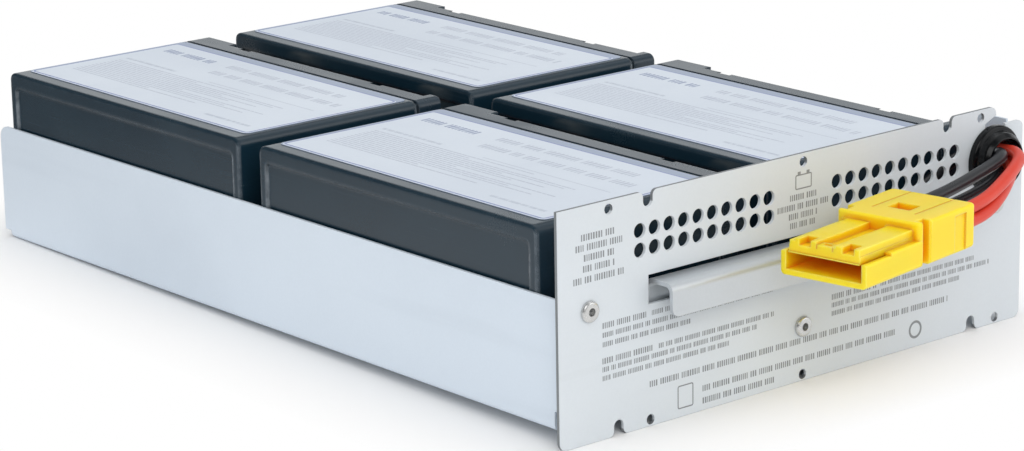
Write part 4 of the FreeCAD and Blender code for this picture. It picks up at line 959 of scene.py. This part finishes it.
@dataclass
class BatteryBlock:
    """One sealed block with its lid, label, terminals and receptacles.

    Rows of print are measured from the label's rear end and from its base side.
    """

    shop: FinishShop
    name: str
    seed: int
    layer: float = 0.02 * MM
    field_layers: float = 2.2
    print_layers: float = 3.4
    film_edge: float = 0.05 * MM
    margin: float = 0.7 * MM
    rear_band: float = 1.5 * MM
    seam_band: float = 4.4 * MM
    line: float = 0.8 * MM
    corner: float = 1.8 * MM
    titles: tuple[PrintRow, ...] = (
        PrintRow(8.8, 41.9, 59.8, 4.2, LabelInk.DEEP), PrintRow(50.5, 124.0, 60.0, 4.2, LabelInk.PALE),
        PrintRow(53.0, 133.4, 49.9, 4.2, LabelInk.PALE), PrintRow(9.1, 42.1, 40.3, 1.5, LabelInk.PALE),
        PrintRow(108.0, 136.1, 7.6, 1.5, LabelInk.PALE),
    )
    rule: PrintRow = PrintRow(66.8, 132.9, 38.7, 0.3, LabelInk.PALE)
    fine_left: float = 9.1
    fine_top: float = 36.4
    fine_pitch: float = 1.8
    fine_height: float = 0.6
    fine_ends: tuple[float, ...] = (96.8, 64.3, 122.1, 118.3, 88.3, 112.3, 97.5, 70.3, 124.3, 102.3,
                                    116.3, 58.3, 92.3)

    def dress(self) -> None:
        """Gives each CAD node of the block its finish."""
        for kind, finish in (("battery_container", BLOCK_PLASTIC), ("battery_lid", LID_PLASTIC),
                             ("battery_label", LABEL_FILM), ("battery_terminals", TINNED_BRASS),
                             ("receptacles", NATURAL_NYLON), ("adhesive_pad", DARK_FOAM)):
            self.shop.dress(f"{kind}_{self.name}", finish)

    def build_print(self) -> bpy.types.Object:
        """Lays a pale field, a border line and rows of print on the label.

        Returns:
            The finished piece.
        """
        low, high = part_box(f"battery_label_{self.name}")
        plane = PrintPlane(Vector((low.x, high.y, high.z)), Vector((0.0, -1.0, 0.0)), Vector((1.0, 0.0, 0.0)))
        length, width = high.y - low.y, high.x - low.x
        sheet = PrintMesh(plane, self.layer)
        left, top = self.rear_band, width - self.seam_band
        film = (left, self.film_edge, length - self.film_edge, top)
        sheet.plate(film, self.corner, self.layer, LabelInk.EDGE)
        bordered = (left, self.margin, length - self.margin, top)
        lift = self.field_layers * self.layer
        sheet.ring(bordered, self.corner, self.line, lift, LabelInk.LINE)
        sheet.plate(shrunk(bordered, self.line), self.corner - self.line, lift, LabelInk.FIELD)
        lift = self.print_layers * self.layer
        for number, row in enumerate(self.titles):
            sheet.words(row, lift, self.seed + number)
        rule = (self.rule.left, self.rule.middle, self.rule.right, self.rule.middle + self.rule.height)
        sheet.plate(in_metres(rule), 0.0, lift, self.rule.ink)
        for number, end in enumerate(self.fine_ends):
            row = PrintRow(self.fine_left, end, self.fine_top - self.fine_pitch * number,
                           self.fine_height, self.rule.ink)
            sheet.dashes(row, lift, self.seed + len(self.titles) + number)
        materials = [self.shop.material(LABEL_INKS[ink]) for ink in LabelInk]
        return sheet.finish(f"label_print_{self.name}", materials, "label_film")


@dataclass(frozen=True)
class CableRun:
    """One free cable, from the bushing to the connector.

    Attributes:
        node: The CAD tube that it stands for.
        finish: Its sheath.
        length: Its real length in metres.
        route: Control points in millimetres: across, out from the panel's face, up.
        contact: The CAD contact that it ends in.
    """

    node: str
    finish: Finish
    length: float
    route: tuple[Point, ...]
    contact: str


CABLE_RUNS = (
    CableRun("cable_black_upper", CABLE_BLACK, 0.0694, (
        (91.2, 1.0, 60.0), (91.2, 4.0, 60.0), (90.6, 7.6, 60.8), (86.0, 12.6, 61.2),
        (76.0, 15.2, 59.6), (58.0, 15.6, 55.6), (41.72, 16.48, 53.85), (30.88, 18.33, 53.85),
    ), "connector_contact_negative"),
    CableRun("cable_black_lower", CABLE_BLACK, 0.0682, (
        (92.1, 1.0, 55.4), (92.1, 4.4, 55.4), (89.0, 8.4, 54.5), (82.5, 11.8, 52.8),
        (72.5, 13.4, 50.8), (57.0, 14.6, 49.1), (41.72, 16.48, 48.95), (30.88, 18.33, 48.95),
    ), "connector_contact_negative"),
    CableRun("cable_red_upper", CABLE_RED, 0.0783, (
        (96.8, 1.0, 60.0), (96.8, 4.4, 60.0), (96.0, 9.0, 60.8), (91.0, 16.4, 60.8),
        (82.0, 22.2, 60.0), (71.0, 26.9, 57.9), (58.0, 30.8, 54.8), (44.6, 33.34, 53.85),
        (33.76, 35.19, 53.85),
    ), "connector_contact_positive"),
    CableRun("cable_red_lower", CABLE_RED, 0.0775, (
        (98.2, 1.0, 55.2), (98.2, 4.2, 55.2), (96.0, 8.0, 55.9), (89.6, 13.9, 56.2),
        (80.6, 20.4, 55.2), (70.3, 26.4, 53.0), (58.0, 31.2, 49.9), (44.6, 33.34, 48.95),
        (33.76, 35.19, 48.95),
    ), "connector_contact_positive"),
)


@dataclass
class ConnectorShell:
    """The connector's housing with the deep upright grips of its two sides.

    Attributes:
        shop: Where its finish comes from.
        node: The CAD housing.
        mouth: The mount at the middle of its mouth.
        grip_start: How far behind the mouth the grips begin.
        grip_length: How wide they are along the connector.
        grip_depth: How deep they are.
        cut_past: How far the cutting bars reach past the housing.
        weld: Points nearer than this are one.
    """

    shop: FinishShop
    node: str = "connector_housing"
    mouth: str = "connector_mouth"
    grip_start: float = 33.3 * MM
    grip_length: float = 4.6 * MM
    grip_depth: float = 3.4 * MM
    cut_past: float = 1.0 * MM
    weld: float = 0.002 * MM

    def place(self) -> Matrix:
        """The connector's own frame: X from the mouth to the cable end, Z up from its underside.

        Returns:
            The frame's matrix.
        """
        mount = next(mount for mount in frame["record"]["mounts"] if mount["name"] == self.mouth)
        along = -Vector(mount["axis"])
        up = Vector((0.0, 0.0, 1.0))
        matrix = Matrix((along, up.cross(along), up)).transposed().to_4x4()
        across, out, _ = mount["pos_m"]
        matrix.translation = (across, out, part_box(self.node)[0].z)
        return matrix

    def grips(self, half_width: float, height: float) -> bpy.types.Object:
        """Two upright bars that cut the grips.

        Args:
            half_width: Half of the housing's width.
            height: The housing's height.

        Returns:
            The bars as one object.
        """
        bars = bmesh.new()
        place = self.place()
        middle = self.grip_start + self.grip_length / 2
        size = (self.grip_length, self.grip_depth + self.cut_past, height + 2 * self.cut_past)
        offset = half_width + (self.cut_past - self.grip_depth) / 2
        for side in (-1, 1):
            spot = Matrix.Translation((middle, side * offset, height / 2))
            bmesh.ops.create_cube(bars, size=1.0, matrix=place @ spot @ Matrix.Diagonal((*size, 1.0)))
        return add_object("connector_grips", new_mesh("connector_grips", bars))

    @staticmethod
    def _cut(piece: bpy.types.Object, bars: bpy.types.Object) -> None:
        """Takes the bars out of the piece and away from the scene.

        Args:
            piece: What is cut.
            bars: What cuts it.
        """
        cut = piece.modifiers.new("grips", "BOOLEAN")
        cut.operation = "DIFFERENCE"
        cut.solver = "EXACT"
        cut.object = bars
        bpy.context.view_layer.update()
        piece.data = bpy.data.meshes.new_from_object(piece.evaluated_get(
            bpy.context.evaluated_depsgraph_get()))
        piece.modifiers.clear()
        bpy.data.objects.remove(bars)

    def build(self) -> bpy.types.Object:
        """Cuts the grips into a copy of the housing.

        Returns:
            The finished piece.
        """
        solid = bmesh.new()
        solid.from_mesh(frame["nodes"][self.node].data)
        bmesh.ops.remove_doubles(solid, verts=solid.verts, dist=self.weld)
        own = self.place().inverted()
        corners = [own @ vertex.co for vertex in solid.verts]
        piece = add_object("connector_shell", new_mesh("connector_shell", solid))
        self._cut(piece, self.grips(max(corner.y for corner in corners), max(corner.z for corner in corners)))
        piece.data.shade_flat()
        piece.data.materials.clear()
        piece.data.materials.append(self.shop.material(CONNECTOR_PLASTIC))
        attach(piece, "root")
        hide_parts(self.node)
        log.info("%s: grips cut %.1f mm deep", piece.name, self.grip_depth / MM)
        return piece


@dataclass
class Harness:
    """Cables, inner leads, bushing and connector."""

    shop: FinishShop
    diameter: float = 4.5 * MM
    round_steps: int = 8
    length_steps: int = 16

    def dress(self) -> None:
        """Gives the CAD nodes that stay their finishes."""
        self.shop.dress("cable_bushing", BUSHING_NYLON)
        for pole in ("negative", "positive"):
            self.shop.dress(f"connector_contact_{pole}", CONTACT_SILVER)
        for node in ("lead_black_left", "lead_black_right", "jumper_left", "jumper_right"):
            self.shop.dress(node, CABLE_BLACK)
        for node in ("lead_red_left", "lead_red_right"):
            self.shop.dress(node, CABLE_RED)

    def lay(self, run: CableRun) -> bpy.types.Object:
        """Lays one free cable as a smooth curve.

        Args:
            run: The cable's facts and route.

        Returns:
            The finished piece.
        """
        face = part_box("front_panel")[0].y
        curve = bpy.data.curves.new(f"{run.node}_sheath", "CURVE")
        curve.dimensions = "3D"
        curve.bevel_depth = self.diameter / 2
        curve.bevel_resolution = self.round_steps
        curve.resolution_u = self.length_steps
        curve.use_fill_caps = True
        spline = curve.splines.new("NURBS")
        spline.points.add(len(run.route) - 1)
        for point, (across, out, up) in zip(spline.points, run.route):
            point.co = (across * MM, face - out * MM, up * MM, 1.0)
        spline.order_u = 3
        spline.use_endpoint_u = True
        curve.materials.append(self.shop.material(run.finish))
        piece = add_object(f"{run.node}_sheath", curve)
        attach(piece, "root")
        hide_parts(run.node)
        across, out, up = run.route[0]
        log.info("%s: cable of %.1f mm", run.node, run.length / MM)
        return piece


@dataclass(frozen=True)
class Lamp:
    """One soft square lamp.

    Attributes:
        name: Its name.
        place: Where it hangs, in metres.
        size: Its side.
        power: Its power in watts.
    """

    name: str
    place: Point
    size: float
    power: float


@dataclass
class Studio:
    """Floor, world, lamps and camera.

    Lengths are in metres where nothing else is said.

    Attributes:
        eye: Where the camera stands.
        look_at: What it looks at.
        roll: Its turn about its line of sight, in degrees.
        lens: Its focal length in millimetres.
        sensor: Width of its sensor in millimetres.
        clip: Nearest and furthest distance that it sees.
        sky: Strength of the light from all round.
        floor_size: Side of the floor.
        floor_gap: How far the floor lies under the object.
        floor_cells: Cells along a side of the floor.
        footprint: Half width and half depth of what stands on the floor.
        shadow_reach: How far past the footprint the shadow shows.
        mirrored_floor: Where the floor's reflection starts and ends to grey.
        paper: The floor's two tones.
        paper_scale: How fine the clouds of the second tone are.
        paper_detail: How many finer layers they have.
        studio_wall: Strength of the wall in reflections.
        wall_rise: Where low white starts and ends to give way to the wall.
        ceiling_rise: Where the wall starts and ends to give way to the ceiling.
        left_screen: Strength of the screen in reflections.
        screen_side: Where the screen starts and ends to give way to the room.
        room_tint: Tint of the reflections.
        lamps: The lamps.
    """

    eye: Point = (-0.79874, -0.96495, 0.36109)
    look_at: Point = (-0.0356, -0.05777, 0.0350)
    roll: float = 1.052
    lens: float = 120.793
    sensor: float = 36.0
    clip: tuple[float, float] = (0.05, 50.0)
    sky: float = 0.78
    floor_size: float = 8.0
    floor_gap: float = 0.05 * MM
    floor_cells: int = 2
    footprint: Point = (0.11, 0.17, 0.0)
    shadow_reach: float = 0.045
    mirrored_floor: tuple[float, float] = (0.05, 0.3)
    paper: tuple[Colour, Colour] = ((0.93, 0.93, 0.93, 1.0), (0.95, 0.95, 0.95, 1.0))
    paper_scale: float = 5.0
    paper_detail: float = 4.0
    studio_wall: float = 0.3
    wall_rise: tuple[float, float] = (0.34, 0.42)
    ceiling_rise: tuple[float, float] = (0.64, 0.74)
    left_screen: float = 0.12
    screen_side: tuple[float, float] = (0.05, 0.3)
    room_tint: Colour = (0.95, 0.98, 1.0, 1.0)
    lamps: tuple[Lamp, ...] = (
        Lamp("key", (-1.0, -1.9, 1.45), 1.4, 17.0),
        Lamp("fill", (1.3, -1.6, 1.0), 1.2, 5.0),
        Lamp("top", (0.1, 0.15, 1.5), 1.2, 2.5),
    )

    def place_camera(self) -> None:
        """Puts the camera where the object was seen from."""
        data = bpy.data.cameras.new("viewpoint")
        data.sensor_fit = "HORIZONTAL"
        data.sensor_width = self.sensor
        data.lens = self.lens
        data.clip_start, data.clip_end = self.clip
        camera = add_object("viewpoint", data)
        forward = (Vector(self.look_at) - Vector(self.eye)).normalized()
        turn = forward.to_track_quat("-Z", "Y").to_matrix().to_4x4()
        roll = Matrix.Rotation(math.radians(self.roll), 4, forward)
        camera.matrix_world = Matrix.Translation(self.eye) @ roll @ turn
        bpy.context.scene.camera = camera

    def lay_floor(self) -> bpy.types.Object:
        """Lays a pale floor under the two edges that the object stands on.

        Returns:
            The floor.
        """
        panel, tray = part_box("front_panel"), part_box("tray")
        front = Vector((0.0, panel[0].y, panel[0].z))
        rear = Vector((0.0, tray[1].y, tray[0].z))
        slope = math.atan2(rear.z - front.z, rear.y - front.y)
        middle = (front + rear) / 2 - Vector((0.0, 0.0, self.floor_gap))
        sheet = bmesh.new()
        bmesh.ops.create_grid(sheet, x_segments=self.floor_cells, y_segments=self.floor_cells,
                              size=self.floor_size / 2)
        floor = add_object("floor", new_mesh("floor", sheet))
        floor.matrix_world = Matrix.Translation(middle) @ Matrix.Rotation(slope, 4, "X")
        floor.data.materials.append(self._floor_paper())
        return floor

    def _floor_paper(self) -> bpy.types.Material:
        """Pale paper that keeps the shadow near the object and is white further off.

        Its reflection greys towards the back, where the room's wall stands.

        Returns:
            The floor's material.
        """
        material = bpy.data.materials.new("floor_paper")
        graph = Graph.afresh(material)
        place = graph.node("ShaderNodeTexCoord").outputs["Object"]
        off = graph.vector("ABSOLUTE", place).outputs["Vector"]
        out = graph.vector("SUBTRACT", off, self.footprint).outputs["Vector"]
        past = graph.vector("MAXIMUM", out, (0.0, 0.0, 0.0)).outputs["Vector"]
        away = graph.vector("LENGTH", past).outputs["Value"]
        far = graph.remap(away, 0.0, self.shadow_reach)
        cloud = graph.noise(place, self.paper_scale, self.paper_detail)
        paper = graph.node("ShaderNodeBsdfDiffuse", {"Color": graph.blend(cloud, *self.paper)})
        path = graph.node("ShaderNodeLightPath")
        back = graph.node("ShaderNodeSeparateXYZ", {0: place}).outputs["Y"]
        mirrored = graph.remap(back, *self.mirrored_floor, 1.0, self.studio_wall)
        strength = graph.remap(path.outputs["Is Camera Ray"], 0.0, 1.0, mirrored, 1.0)
        white = graph.node("ShaderNodeEmission", {"Color": (1.0, 1.0, 1.0, 1.0), "Strength": strength})
        seen = graph.maths("MAXIMUM", path.outputs["Is Camera Ray"], path.outputs["Is Glossy Ray"])
        share = graph.maths("MULTIPLY", far, seen)
        both = graph.node("ShaderNodeMixShader", {0: share, 1: paper.outputs[0], 2: white.outputs[0]})
        graph.node("ShaderNodeOutputMaterial", {"Surface": both.outputs[0]})
        return material

    def light_world(self) -> None:
        """Lights from all round, and shows white to the camera.

        Reflections show the same white low down, a greyer wall above it, a white ceiling
        and a dark screen at the left.
        """
        world = bpy.data.worlds.new("studio")
        bpy.context.scene.world = world
        graph = Graph.afresh(world)
        path = graph.node("ShaderNodeLightPath")
        direction = graph.node("ShaderNodeTexCoord").outputs["Generated"]
        sides = graph.node("ShaderNodeSeparateXYZ", {0: direction})
        wall = graph.remap(sides.outputs["Z"], *self.wall_rise, 1.0, self.studio_wall)
        ceiling = graph.remap(sides.outputs["Z"], *self.ceiling_rise, wall, 1.0)
        room = graph.remap(sides.outputs["X"], *self.screen_side, self.left_screen, ceiling)
        lit = graph.remap(path.outputs["Is Glossy Ray"], 0.0, 1.0, self.sky, room)
        direct = graph.maths("MAXIMUM", path.outputs["Is Camera Ray"], path.outputs["Is Transmission Ray"])
        strength = graph.remap(direct, 0.0, 1.0, lit, 1.0)
        tint = graph.blend(path.outputs["Is Glossy Ray"], (1.0, 1.0, 1.0, 1.0), self.room_tint)
        back = graph.node("ShaderNodeBackground", {"Color": tint, "Strength": strength})
        graph.node("ShaderNodeOutputWorld", {"Surface": back.outputs[0]})

    def hang_lamp(self, lamp: Lamp) -> None:
        """Hangs one lamp that points at the object.

        Args:
            lamp: The lamp's facts.
        """
        data = bpy.data.lights.new(lamp.name, "AREA")
        data.size = lamp.size
        data.energy = lamp.power
        item = add_object(lamp.name, data)
        aim = Vector(self.look_at) - Vector(lamp.place)
        turn = aim.to_track_quat("-Z", "Y").to_matrix().to_4x4()
        item.matrix_world = Matrix.Translation(lamp.place) @ turn

    def set_up(self) -> None:
        """Places camera, floor, world and lamps."""
        bpy.context.scene.view_settings.view_transform = "Standard"
        self.place_camera()
        self.lay_floor()
        self.light_world()
        for lamp in self.lamps:
            self.hang_lamp(lamp)


BLOCK_NAMES = ("front_left", "rear_left", "front_right", "rear_right")
SEED_STEP = 40


def main() -> None:
    """Builds the looks in order."""
    logging.basicConfig(level=logging.INFO, format="%(name)s %(message)s")
    shop = FinishShop()
    Studio().set_up()
    harness = Harness(shop)
    shell = ConnectorShell(shop).build()
    for run in CABLE_RUNS:
        harness.lay(run)
    harness.dress()
    SheetMetal(shop).dress()
    PanelPrint(shop).build()
    for number, name in enumerate(BLOCK_NAMES, start=1):
        block = BatteryBlock(shop, name, seed=SEED_STEP * number)
        block.dress()
        block.build_print()
    bpy.context.view_layer.update()


if __name__ == "__main__":
    main()
